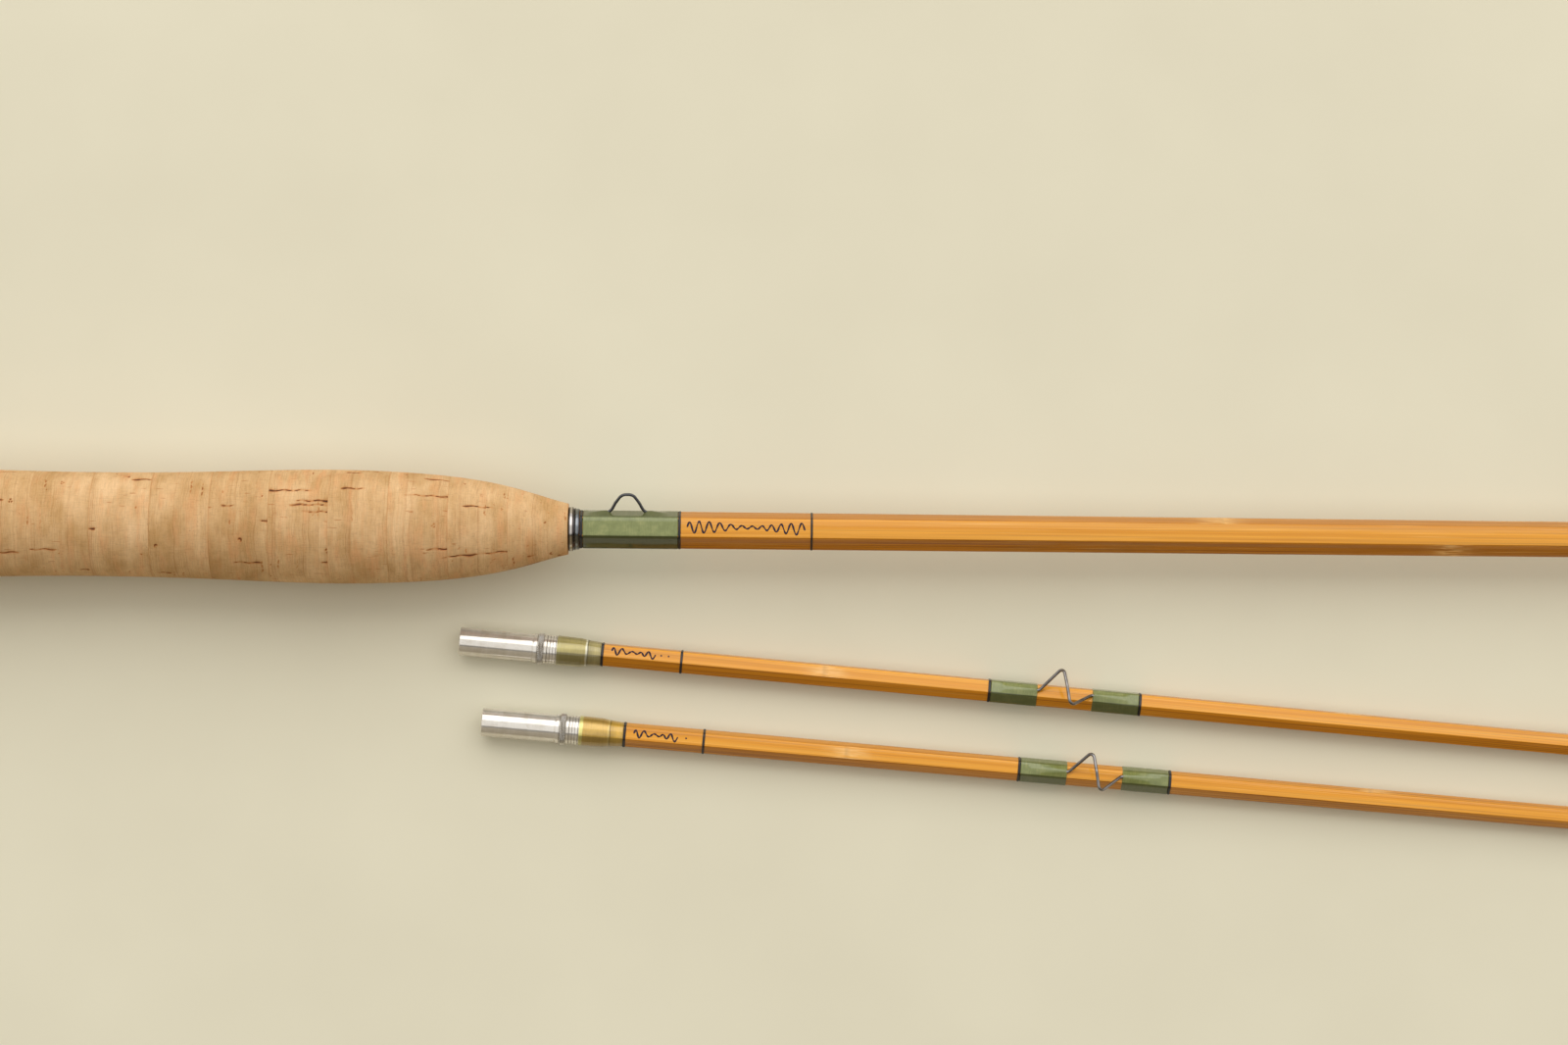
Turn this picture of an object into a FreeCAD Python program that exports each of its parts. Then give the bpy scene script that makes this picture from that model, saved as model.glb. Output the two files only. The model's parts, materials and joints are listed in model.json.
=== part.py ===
"""A two-piece split-cane fly rod with two tips, taken down and laid out in its three sections.

Every section is modelled along its own +X axis, in millimetres, with its guides on the +Z side:
the butt from its cap (x = 0) to the mouth of its ferrule, a tip from the end of its ferrule
slide (x = 0) to its tip top. Both tips are the same bodies, placed twice. The sections are then
laid on the plane z = 0, and the whole is centred on the origin.
"""

import FreeCAD
import Part

import math
import os
import re

import Sketcher
from FreeCAD import Placement, Rotation, Vector

DIMENSIONS = {
    # the whole rod
    "section_length": (1151.0, "each section, end to end"),
    "cork_front": (255.1, "butt cap to the front of the cork grip"),
    # split cane, measured across its flats
    "butt_cane_start": (6.0, "the cane runs right through the grip and the reel seat"),
    "butt_flats": (7.2, "butt cane from the seat to the front of the grip"),
    "butt_end_flats": (5.2, "butt cane at its ferrule"),
    "butt_mid_flats": (6.85, "butt cane a little ahead of the grip"),
    "butt_mid_at": (460.0, "station along the butt"),
    "tip_cane_start": (1.3, "the tenon in the ferrule slide"),
    "tip_cane_end": (1148.0, "inside the tip top"),
    "tip_flats": (4.66, "tip cane at its ferrule"),
    "tip_flats_low": (4.32, "tip cane at the first quarter"),
    "tip_flats_mid": (3.75, "tip cane near the middle"),
    "tip_flats_high": (3.0, "tip cane at two thirds"),
    "tip_flats_top": (2.3, "tip cane near the last guide"),
    "tip_flats_end": (1.75, "tip cane in the tip top"),
    "tip_low_at": (240.0, "station along the tip"),
    "tip_mid_at": (500.0, "station along the tip"),
    "tip_high_at": (800.0, "station along the tip"),
    "tip_top_at": (1000.0, "station along the tip"),
    # cork grip
    "cork_thickness": (12.7, "one cork ring, half an inch"),
    "cork_bore": (4.2, "radius, over the corners of the cane"),
    "grip_front_radius": (5.5, "at the winding check"),
    "grip_palm_radius": (12.2, "at the swell"),
    "grip_waist_radius": (11.17, "behind the swell"),
    "grip_rear_radius": (11.7, "at the reel seat"),
    # reel seat
    "seat_length": (90.0, "butt cap to the cork"),
    "cap_radius": (9.6, "butt cap"),
    "cap_length": (8.8, "butt cap"),
    "cap_floor": (3.0, "depth of the cap's end wall"),
    "barrel_radius": (8.5, "crest of the seat thread"),
    "barrel_bore": (7.4, "radius of the tenon on the wooden insert"),
    "barrel_end": (36.0, "front of the threaded barrel"),
    "thread_start": (10.0, "first turn of the thread"),
    "thread_pitch": (1.25, "advance of the lock nut in a turn"),
    "thread_depth": (0.45, "of the thread groove"),
    "insert_radius": (8.35, "wooden insert between the hoods"),
    "hood_radius": (9.5, "round part of both hoods"),
    "hood_bore": (8.58, "running fit over the barrel"),
    "hood_lobe_radius": (8.5, "bulge over the reel foot"),
    "hood_lobe_height": (4.5, "centre of the bulge above the axis"),
    "hood_wall": (0.9, "sheet thickness of the bulge"),
    "hood_floor": (4.0, "closed end of each hood"),
    "slide_hood_start": (22.0, "sliding hood, fully open"),
    "slide_hood_length": (14.0, "sliding hood"),
    "fixed_hood_start": (76.0, "mouth of the fixed hood"),
    "nut_start": (12.5, "lock nut, fully open"),
    "nut_length": (9.3, "lock nut"),
    "nut_radius": (10.4, "knurled rim of the lock nut"),
    # winding check and thread
    "check_radius": (4.75, "wide step of the winding check"),
    "check_step": (4.45, "narrow step of the winding check"),
    "check_length": (2.35, "along the rod"),
    "silk_thickness": (0.16, "one layer of silk under varnish"),
    "band_thickness": (0.19, "black tipping thread under varnish"),
    "band_width": (0.7, "black tipping beside a wrap"),
    "keeper_wrap_length": (20.5, "green silk over the hook keeper"),
    "signature_at": (52.1, "black band ahead of the cork"),
    "tip_signature_at": (48.05, "black band on a tip, from the end of the slide"),
    "wire_gap": (0.03, "varnish between a guide foot and the cane"),
    "toe_thickness": (0.16, "ground end of a guide foot"),
    # hook keeper
    "keeper_at": (12.7, "centre of the loop, ahead of the cork"),
    "keeper_wire": (0.32, "radius of the wire"),
    "keeper_height": (4.7, "loop above the cane"),
    "keeper_half_width": (3.3, "loop along the rod"),
    "keeper_reach": (4.9, "middle of the loop to where the silk covers its foot"),
    "keeper_foot": (2.9, "ground part of each foot"),
    # snake guides, at the size of the largest
    "snake_gap": (12.0, "between its two wraps"),
    "snake_wrap": (10.1, "silk on each foot"),
    "snake_foot": (6.3, "ground part of each foot"),
    "snake_wire": (0.34, "radius of the wire"),
    "snake_height": (4.9, "middle of the crossing above the cane"),
    "snake_side": (4.4, "corner of the loop to each side"),
    "snake_slant": (1.0, "corner of the loop to the middle, along the rod"),
    "snake_bend": (1.0, "radius of the bends"),
    # stripping guide
    "stripper_at": (762.0, "along the butt"),
    "stripper_bore": (3.9, "radius inside the agate ring"),
    "stripper_agate": (4.75, "radius outside the agate ring"),
    "stripper_bezel": (5.3, "radius outside the bezel"),
    "stripper_height": (6.4, "ring centre above the cane"),
    "stripper_width": (2.4, "agate ring along the rod"),
    "stripper_wire": (0.5, "radius of the legs"),
    "stripper_gap": (19.0, "between its two wraps"),
    "stripper_wrap": (13.0, "silk on each foot"),
    "stripper_foot": (9.5, "ground part of each foot"),
    "butt_snake_at": (1030.0, "along the butt"),
    # ferrules
    "slide_radius": (3.05, "male slide"),
    "slide_length": (16.1, "male slide"),
    "slide_bore": (2.62, "inside the male ferrule"),
    "socket_radius": (3.07, "female ferrule, a sliding fit"),
    "socket_depth": (17.2, "mouth to water plug"),
    "socket_seat": (2.82, "female ferrule over the turned end of the cane"),
    "female_tab": (3.12, "female ferrule, outside at the tips of its tabs"),
    "male_end": (27.6, "end of the male ferrule's tabs"),
    "male_wrap_start": (21.2, "silk over the male ferrule"),
    "male_wrap_end": (30.8, "silk over the male ferrule"),
    "knurl_radius": (3.4, "knurled ring of the male ferrule"),
    "female_length": (46.0, "female ferrule"),
    "female_radius": (3.6, "tube of the female ferrule"),
    "welt_radius": (4.0, "rolled welt at the mouth"),
    "female_wrap_length": (17.0, "silk over the tabs and the cane"),
    # tip top
    "top_tube_start": (1137.0, "tip top tube"),
    "top_tube_radius": (1.25, "tip top tube"),
    "top_tube_bore": (1.06, "tip top tube"),
    "top_wire": (0.38, "radius of the tip top's wire"),
    "top_wrap_length": (7.0, "silk behind the tip top"),
    # how the sections lie
    "butt_roll": (70.0, "guides of the butt, from straight up towards +Y"),
    "tip_end_height": (1.3, "axis of a tip above the table at its tip top"),
}

# snake guides of a tip: (station, scale); the first stands a little differently on each tip
FIRST_GUIDE = {"tip_a": (131.8, 1.0), "tip_b": (133.4, 1.0)}
FURTHER_GUIDES = [(357.0, 0.92), (554.0, 0.86), (732.0, 0.8), (884.0, 0.74), (1024.0, 0.7)]
CORK_RINGS = 13
STRIPS = 6
BIG = 30.0  # radius of the slabs that cut a length out of a form

# section: (x and y of its end beside the cork, yaw, roll of its guides from straight up towards +Y)
TIP_LAYOUT = {"tip_a": (-23.73, -24.6, -4.72, 24.0), "tip_b": (-18.73, -42.1, -4.43, 11.0)}

doc = FreeCAD.newDocument("fly_rod")
dims = doc.addObject("Spreadsheet::Sheet", "dims")
for row, (alias, (size, meaning)) in enumerate(DIMENSIONS.items(), start=1):
    dims.set(f"A{row}", str(size))
    dims.set(f"B{row}", meaning)
    dims.setAlias(f"A{row}", alias)
doc.recompute()
nodes = {"butt": [], "tip_a": [], "tip_b": []}


# ---------------------------------------------------------------- helpers


def bound(text):
    """An expression over the sheet: every word that holds an underscore is an alias."""
    return re.sub(r"\b[a-z]+(?:_[a-z]+)+\b", r"dims.\g<0>", str(text))


def size(text):
    """The value of such an expression now, in millimetres."""
    return float(dims.evalExpression(bound(text)))


def along(start, turn=0.0):
    """A placement at x = start that points an object's own Z axis along the rod, turned about it."""
    return Placement(
        Vector(start, 0, 0),
        Rotation(Vector(1, 0, 0), turn) * Rotation(Vector(0, 1, 0), 90),
    )


def turned(name, outline):
    """A body of revolution about the rod's axis, from (along the rod, radius) corners."""
    body = doc.addObject("PartDesign::Body", name + "_turned")
    sketch = body.newObject("Sketcher::SketchObject", name + "_outline")
    plane = next(f for f in body.Origin.OriginFeatures if f.Role == "XY_Plane")
    sketch.AttachmentSupport = (plane, [""])
    sketch.MapMode = "FlatFace"
    corners = [Vector(size(x), size(r), 0) for x, r in outline]
    for here, there in zip(corners, corners[1:] + corners[:1]):
        sketch.addGeometry(Part.LineSegment(here, there))
    for i, (x, r) in enumerate(outline):
        before = (i - 1) % len(outline)
        sketch.addConstraint(Sketcher.Constraint("Coincident", before, 2, i, 1))
        for kind, axis, text in (("DistanceX", -2, x), ("DistanceY", -1, r)):
            if text == "0":
                sketch.addConstraint(Sketcher.Constraint("PointOnObject", i, 1, axis))
            else:
                made = sketch.addConstraint(Sketcher.Constraint(kind, -1, 1, i, 1, size(text)))
                sketch.setExpression(f"Constraints[{made}]", bound(text))
    turn = body.newObject("PartDesign::Revolution", name + "_revolution")
    turn.Profile = sketch
    turn.ReferenceAxis = (sketch, ["H_Axis"])
    turn.Angle = 360
    return body


def rod(name, start, length, radius, height="0"):
    """A round bar along the rod, whose centre may stand above the axis."""
    bar = doc.addObject("Part::Cylinder", name)
    bar.setExpression("Radius", bound(radius))
    bar.setExpression("Height", bound(length))
    bar.Placement = along(size(start))
    bar.setExpression("Placement.Base.x", bound(start))
    bar.setExpression("Placement.Base.z", bound(height))
    return bar


def hexagonal(name, stations, cover="0"):
    """A six-sided bar with a flat on its +Z side, lofted through (along the rod, across flats)."""
    sections = []
    for i, (x, flats) in enumerate(stations):
        ring = doc.addObject("Part::RegularPolygon", f"{name}_section_{i}")
        ring.Polygon = 6
        ring.setExpression("Circumradius", bound(f"({flats} + 2 * {cover}) / sqrt(3)"))
        ring.Placement = along(size(x), 30)
        ring.setExpression("Placement.Base.x", bound(x))
        sections.append(ring)
    loft = doc.addObject("Part::Loft", name)
    loft.Sections = sections
    loft.Solid = True
    loft.Ruled = True
    return loft


def fused(name, first, *others):
    for i, other in enumerate(others):
        joined = doc.addObject("Part::Fuse", f"{name}_{i}")
        joined.Base = first
        joined.Tool = other
        first = joined
    return first


def cut(name, base, tool):
    made = doc.addObject("Part::Cut", name)
    made.Base = base
    made.Tool = tool
    return made


def common(name, base, tool):
    made = doc.addObject("Part::Common", name)
    made.Base = base
    made.Tool = tool
    return made


def group(name, objects):
    made = doc.addObject("Part::Compound", name)
    made.Links = objects
    return made


def shaped(name, shape):
    """An object whose shape is made by Part's own functions from sizes read from the sheet."""
    made = doc.addObject("Part::Feature", name)
    made.Shape = shape
    return made


def node(section, label, *objects):
    """A sub-part: one or more separate solids under one label, placed with its section."""
    made = group("node_" + label, list(objects))
    made.Label = label
    nodes[section].append(made)
    return made


def slabs(name, spans):
    """Discs that cut the (start, length) spans out of a long form."""
    return group(
        name,
        [rod(f"{name}_{i}", start, length, BIG) for i, (start, length) in enumerate(spans)],
    )


def wire_path(points, bend):
    """Straight runs joined by tangent arcs of radius bend, or less where a run is short."""
    runs = [(b - a).Length for a, b in zip(points, points[1:])]
    edges = []
    reached = points[0]
    for i in range(1, len(points) - 1):
        here = points[i]
        back = (points[i - 1] - here).normalize()
        ahead = (points[i + 1] - here).normalize()
        half = back.getAngle(ahead) / 2
        trim = min(0.45 * min(runs[i - 1], runs[i]), bend / math.tan(half))
        middle = here + (back + ahead).normalize() * trim * (1 / math.cos(half) - math.tan(half))
        entry = here + back * trim
        leave = here + ahead * trim
        edges.append(Part.LineSegment(reached, entry).toShape())
        edges.append(Part.Arc(entry, middle, leave).toShape())
        reached = leave
    edges.append(Part.LineSegment(reached, points[-1]).toShape())
    return Part.Wire(edges)


def bent_wire(points, radius, bend):
    """A solid round wire along such a path."""
    path = wire_path(points, bend)
    start = (points[1] - points[0]).normalize()
    ring = Part.Wire(Part.makeCircle(radius, points[0], start))
    solid = path.makePipeShell([ring], True, False)
    wanted = math.pi * radius**2 * path.Length
    if abs(solid.Volume - wanted) > 0.02 * wanted:
        raise ValueError(f"bent wire of {solid.Volume} mm3, not {wanted}")
    return solid


def ground(shape, heel, outward, radius, length, spare=0.0):
    """Grinds the top off a foot, from its whole thickness at the heel down to a thin toe."""
    drop = 2 * radius + 0.1 - size("toe_thickness")
    run = length + 1
    top = heel + Vector(0, 0, radius + 0.1 + spare)
    toe = top + Vector(outward * run, 0, -drop * run / length)
    clear = Vector(0, 0, 2 * radius + 1)
    side = Part.Face(Part.makePolygon([top, toe, toe + clear, top + clear, top]))
    wedge = side.extrude(Vector(0, 4, 0)).translated(Vector(0, -2, 0))
    return shape.cut(wedge)


def foot_cover(heel, outward, radius, length, lead):
    """The round bar that the silk follows from lead before the heel to just past the toe."""
    silk = size("silk_thickness")
    start = heel - Vector(outward * lead, 0, 0)
    bar = Part.makeCylinder(radius + silk, lead + length + 0.3, start, Vector(outward, 0, 0))
    return ground(bar, heel, outward, radius, length, silk)


# ---------------------------------------------------------------- split cane

BUTT_CANE = [
    ("butt_cane_start", "butt_flats"),
    ("cork_front", "butt_flats"),
    ("butt_mid_at", "butt_mid_flats"),
    ("section_length - female_length", "butt_end_flats"),
]
TIP_CANE = [
    ("male_end", "tip_flats"),
    ("tip_low_at", "tip_flats_low"),
    ("tip_mid_at", "tip_flats_mid"),
    ("tip_high_at", "tip_flats_high"),
    ("tip_top_at", "tip_flats_top"),
    ("tip_cane_end", "tip_flats_end"),
]


def flat_height(stations, x):
    """From the axis to a flat of the cane at x, read between its stations."""
    known = [(size(a), size(b)) for a, b in stations]
    for (x0, f0), (x1, f1) in zip(known, known[1:]):
        if x <= x1:
            return (f0 + (f1 - f0) * (x - x0) / (x1 - x0)) / 2
    raise ValueError(f"{x} is past the end of the cane")


def split_into_strips(name, form):
    """The six glued strips of a cane, each a sixth of its form, meeting at the axis."""
    strips = []
    for i in range(STRIPS):
        sector = doc.addObject("Part::Cylinder", f"{name}_sector_{i}")
        sector.Radius = BIG
        sector.Angle = 360 / STRIPS
        sector.setExpression("Height", bound("section_length"))
        sector.Placement = along(0, 30 + 360 / STRIPS * i)
        strips.append(common(f"{name}_strip_{i}", form, sector))
    return strips


butt_form = fused(
    "butt_form",
    hexagonal("butt_bar", BUTT_CANE),
    rod(
        "butt_tenon",
        "section_length - female_length",
        "female_length - socket_depth - 1.5",
        "socket_seat - 0.02",
    ),
)
tip_form = fused(
    "tip_form",
    hexagonal("tip_bar", TIP_CANE),
    rod("tip_tenon", "tip_cane_start", "male_end - tip_cane_start", "slide_bore - 0.02"),
)
tip_strips = split_into_strips("tip_cane", tip_form)
node("butt", "butt_cane", *split_into_strips("butt_cane", butt_form))


# ---------------------------------------------------------------- cork grip


def cork_form():
    """The turned grip: a bullet nose, a palm swell, a waist and a flare at the reel seat."""
    front = size("cork_front")
    rear = size("seat_length")
    palm = size("grip_palm_radius")
    waist = size("grip_waist_radius")
    nose = size("grip_front_radius")
    thick = size("cork_thickness")
    profile = [
        Vector(rear, size("grip_rear_radius"), 0),
        Vector(rear + thick, palm, 0),
        Vector(rear + 2.8 * thick, (palm + waist) / 2, 0),
        Vector(rear + 5.3 * thick, waist, 0),
        Vector(front - 5.7 * thick, (palm + waist) / 2, 0),
        Vector(front - 3.6 * thick, palm, 0),
        Vector(front - 2 * thick, palm - 1.15, 0),
        Vector(front - thick, palm - 3.2, 0),
        Vector(front - thick / 3, nose + 1.1, 0),
        Vector(front, nose, 0),
    ]
    curve = Part.BSplineCurve()
    curve.interpolate(profile)
    bore = size("cork_bore")
    ends = [Vector(front, nose, 0), Vector(front, bore, 0), Vector(rear, bore, 0), profile[0]]
    sides = [Part.LineSegment(a, b).toShape() for a, b in zip(ends, ends[1:])]
    face = Part.Face(Part.Wire([curve.toShape(), *sides]))
    return shaped("cork_form", face.revolve(Vector(0, 0, 0), Vector(1, 0, 0), 360))


grip = cork_form()
for ring in range(CORK_RINGS):
    slab = rod(
        f"cork_slab_{ring}",
        f"cork_front - cork_thickness * {ring + 1}",
        "cork_thickness",
        BIG,
    )
    node("butt", f"cork_ring_{ring + 1:02d}", common(f"cork_{ring}", grip, slab))

node(
    "butt",
    "winding_check",
    turned(
        "winding_check",
        [
            ("cork_front + 0.1", "cork_bore"),
            ("cork_front + 0.1", "check_radius - 0.25"),
            ("cork_front + 0.3", "check_radius"),
            ("cork_front + 1.3", "check_radius"),
            ("cork_front + 1.5", "check_radius - 0.25"),
            ("cork_front + 1.5", "check_step - 0.15"),
            ("cork_front + 1.65", "check_step"),
            ("cork_front + check_length", "check_step"),
            ("cork_front + check_length + 0.1", "check_step - 0.1"),
            ("cork_front + check_length + 0.1", "cork_bore"),
        ],
    ),
)


# ---------------------------------------------------------------- reel seat


def hood(name, start, length, pocket_start):
    """A reel hood: a ring with a bulge over the reel foot, open at its mouth."""
    lobe = ("hood_lobe_radius", "hood_lobe_height")
    inside = ("hood_lobe_radius - hood_wall", "hood_lobe_height")
    shell = fused(
        name + "_shell",
        rod(name + "_ring", start, length, "hood_radius"),
        rod(name + "_bulge", start, length, *lobe),
    )
    hollow = fused(
        name + "_hollow",
        rod(name + "_bore", f"{start} - 1", f"{length} + 2", "hood_bore"),
        rod(name + "_pocket", pocket_start, f"{length} - hood_floor + 1", *inside),
    )
    return cut(name, shell, hollow)


def threaded_barrel():
    """The tube that the lock nut runs on, with a right-hand V thread cut from thread_start."""
    start = size("thread_start")
    pitch = size("thread_pitch")
    depth = size("thread_depth")
    crest = size("barrel_radius")
    end = size("barrel_end")
    tube = turned(
        "plain_barrel",
        [
            ("cap_floor + 0.05", "barrel_bore"),
            ("cap_floor + 0.05", "barrel_radius"),
            ("barrel_end - 0.3", "barrel_radius"),
            ("barrel_end", "barrel_radius - 0.3"),
            ("barrel_end", "barrel_bore"),
        ],
    )
    doc.recompute()
    helix = Part.makeHelix(pitch, end - start + pitch, crest)
    helix.Placement = along(start)
    first = helix.Edges[0].valueAt(helix.Edges[0].FirstParameter)
    outward = Vector(0, first.y, first.z).normalize()
    half = 0.42 * pitch
    lip = first + outward * 0.1
    left = lip - Vector(half, 0, 0)
    right = lip + Vector(half, 0, 0)
    groove = Part.makePolygon([left, first - outward * depth, right, left])
    screw = Part.Wire(helix).makePipeShell([groove], True, True)
    return shaped("threaded_barrel", tube.Shape.cut(screw))


def knurled_nut():
    """The lock nut: a ring with a knurled rim of straight flutes."""
    blank = turned(
        "nut_blank",
        [
            ("nut_start", "hood_bore"),
            ("nut_start", "nut_radius - 0.9"),
            ("nut_start + 0.6", "nut_radius - 0.3"),
            ("nut_start + 1.6", "nut_radius - 0.3"),
            ("nut_start + 1.6", "nut_radius"),
            ("nut_start + 6.4", "nut_radius"),
            ("nut_start + 6.4", "nut_radius - 0.5"),
            ("nut_start + nut_length - 0.3", "nut_radius - 0.5"),
            ("nut_start + nut_length", "nut_radius - 0.8"),
            ("nut_start + nut_length", "hood_bore"),
        ],
    )
    doc.recompute()
    flutes = []
    count = 36
    for i in range(count):
        turn = 2 * math.pi * i / count
        foot_of_flute = Vector(size("nut_start") + 1.5, 0, 0)
        rim = size("nut_radius") + 0.28
        centre = foot_of_flute + Vector(0, rim * math.sin(turn), rim * math.cos(turn))
        flutes.append(Part.makeCylinder(0.5, 5.0, centre, Vector(1, 0, 0)))
    return shaped("knurled_nut", blank.Shape.cut(flutes))


node(
    "butt",
    "butt_cap",
    turned(
        "butt_cap",
        [
            ("0", "0"),
            ("0", "cap_radius - 2.2"),
            ("0.5", "cap_radius - 0.8"),
            ("1.6", "cap_radius"),
            ("cap_length - 2.4", "cap_radius"),
            ("cap_length - 2.1", "cap_radius - 0.3"),
            ("cap_length - 1.7", "cap_radius - 0.3"),
            ("cap_length - 1.4", "cap_radius"),
            ("cap_length - 0.4", "cap_radius"),
            ("cap_length", "cap_radius - 0.4"),
            ("cap_length", "barrel_radius"),
            ("cap_floor", "barrel_radius"),
            ("cap_floor", "0"),
        ],
    ),
)
node("butt", "seat_barrel", threaded_barrel())
node(
    "butt",
    "seat_insert",
    turned(
        "seat_insert",
        [
            ("cap_floor + 0.1", "cork_bore"),
            ("cap_floor + 0.1", "barrel_bore"),
            ("barrel_end + 0.05", "barrel_bore"),
            ("barrel_end + 0.05", "insert_radius - 0.2"),
            ("barrel_end + 0.4", "insert_radius"),
            ("seat_length", "insert_radius"),
            ("seat_length", "cork_bore"),
        ],
    ),
)
node(
    "butt",
    "fixed_hood",
    hood("rear_hood", "fixed_hood_start", "seat_length - fixed_hood_start", "fixed_hood_start - 1"),
)
node(
    "butt",
    "slide_hood",
    hood("front_hood", "slide_hood_start", "slide_hood_length", "slide_hood_start + hood_floor"),
)
node("butt", "lock_nut", knurled_nut())


# ---------------------------------------------------------------- guides


def snake_guide(name, stations, x, scale):
    """A wire guide with one twist. It leaves one foot, crosses over the rod and returns to the other.

    Returns the guide and the bars that its wraps follow over the feet.
    """
    wire = size("snake_wire")
    lift = flat_height(stations, x) + size("wire_gap")
    half_gap = scale * size("snake_gap") / 2
    length = scale * size("snake_foot")
    top = scale * size("snake_height")
    half = [
        Vector(-half_gap - 1 - length, 0, wire),
        Vector(-half_gap + 0.3, 0, wire),
        Vector(-scale * size("snake_slant"), scale * size("snake_side"), 0.86 * top),
    ]
    points = [*half, Vector(0, 0, top), *(Vector(-p.x, -p.y, p.z) for p in reversed(half))]
    guide = bent_wire([p + Vector(x, 0, lift) for p in points], wire, scale * size("snake_bend"))
    return wire_guide(name, guide, Vector(x, 0, lift + wire), half_gap + 1, wire, length, 1.5)


def wire_guide(name, guide, centre, reach, radius, length, lead):
    """Grinds both feet of a guide, whose heels are at reach each way from its centre."""
    covers = []
    for outward in (-1, 1):
        heel = centre + Vector(outward * reach, 0, 0)
        guide = ground(guide, heel, outward, radius, length)
        covers.append(foot_cover(heel, outward, radius, length, lead))
    return shaped(name + "_wire", guide), shaped(name + "_cover", Part.makeCompound(covers))


def hook_keeper():
    """A loop of black wire for the fly's hook, with both feet under the silk."""
    wire = size("keeper_wire")
    lift = flat_height(BUTT_CANE, size("cork_front")) + size("wire_gap")
    wide = size("keeper_half_width")
    reach = size("keeper_reach")
    length = size("keeper_foot")
    top = size("keeper_height")
    x = size("cork_front + keeper_at")
    half = [
        Vector(-reach - length, 0, wire),
        Vector(-wide - 0.35, 0, wire),
        Vector(-0.78 * wide, 0, 0.52 * top),
        Vector(-0.36 * wide, 0, top - wire),
    ]
    points = half + [Vector(-p.x, -p.y, p.z) for p in reversed(half)]
    loop = bent_wire([p + Vector(x, 0, lift) for p in points], wire, 1.8)
    return wire_guide("keeper", loop, Vector(x, 0, lift + wire), reach, wire, length, 0.2)


def stripping_frame():
    """Two bent legs from foot to foot, brazed to the bezel that holds the agate ring."""
    x = size("stripper_at")
    wire = size("stripper_wire")
    lift = flat_height(BUTT_CANE, x) + size("wire_gap")
    half_gap = size("stripper_gap") / 2
    length = size("stripper_foot")
    centre = size("stripper_height")
    bezel_radius = size("stripper_bezel")
    foot_radius = 1.6 * wire
    solids = []
    for side in (-1, 1):
        half = [
            Vector(-half_gap - 0.8, side * 0.8 * wire, wire),
            Vector(-half_gap + 0.4, side * 0.8 * wire, wire),
            Vector(-0.9, side * bezel_radius, centre - 0.9),
        ]
        points = half + [Vector(-p.x, p.y, p.z) for p in reversed(half)]
        solids.append(bent_wire([p + Vector(x, 0, lift) for p in points], wire, 3.0))
        near = Vector(x + side * (half_gap + 0.1), 0, lift + foot_radius)
        solids.append(Part.makeCylinder(foot_radius, 0.9 + length, near, Vector(side, 0, 0)))
    width = size("stripper_width") - 0.5
    base = Vector(x - width / 2, 0, lift + centre)
    bezel = Part.makeCylinder(bezel_radius, width, base, Vector(1, 0, 0))
    hole = Part.makeCylinder(size("stripper_agate"), width, base, Vector(1, 0, 0))
    frame = bezel.fuse(solids).cut(hole)
    middle = Vector(x, 0, lift + foot_radius)
    return wire_guide("stripper", frame, middle, half_gap + 1, foot_radius, length, 1.5)


def agate_ring():
    """The polished ring that the line runs through, rounded inside."""
    x = size("stripper_at")
    lift = flat_height(BUTT_CANE, x) + size("wire_gap") + size("stripper_height")
    outer = size("stripper_agate")
    inner = size("stripper_bore")
    half = size("stripper_width") / 2
    lip = outer - inner
    left = Vector(-half, outer, 0)
    right = Vector(half, outer, 0)
    middle = Vector(0, inner, 0)
    shoulder = inner + 0.3 * lip
    section = [
        Part.LineSegment(left, right).toShape(),
        Part.Arc(right, Vector(half * 0.75, shoulder, 0), middle).toShape(),
        Part.Arc(middle, Vector(-half * 0.75, shoulder, 0), left).toShape(),
    ]
    ring = Part.Face(Part.Wire(section)).revolve(Vector(0, 0, 0), Vector(1, 0, 0), 360)
    ring.translate(Vector(x, 0, lift))
    return shaped("agate", ring)


def silk(name, form, covers, spans, inside):
    """Green silk over the given spans: the cane's form grown by a thread, raised over guide feet."""
    doc.recompute()
    raised = shaped(name + "_raised", form.Shape.fuse([cover.Shape for cover in covers]))
    length = common(name + "_lengths", raised, slabs(name + "_spans", spans))
    return cut(name, length, fused(name + "_inside", *inside))


def foot_spans(x, gap, wrap):
    """The two wrapped spans of a guide that stands at x."""
    return [(f"{x} - {gap} / 2 - {wrap}", wrap), (f"{x} + {gap} / 2", wrap)]


def band_spans(x, gap, wrap):
    """The black bands at the outer ends of those spans."""
    return [
        (f"{x} - {gap} / 2 - {wrap} - band_width", "band_width"),
        (f"{x} + {gap} / 2 + {wrap}", "band_width"),
    ]


butt_silk_form = hexagonal("butt_silk_form", BUTT_CANE, "silk_thickness")
butt_band_form = hexagonal("butt_band_form", BUTT_CANE, "band_thickness")

keeper, keeper_cover = hook_keeper()
node("butt", "hook_keeper", keeper)
wrap_start = "cork_front + check_length + band_width + 0.1"
keeper_span = [(wrap_start, "keeper_wrap_length")]
node(
    "butt",
    "keeper_wrap",
    silk("keeper_silk", butt_silk_form, [keeper_cover], keeper_span, [butt_form, keeper]),
)

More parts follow.
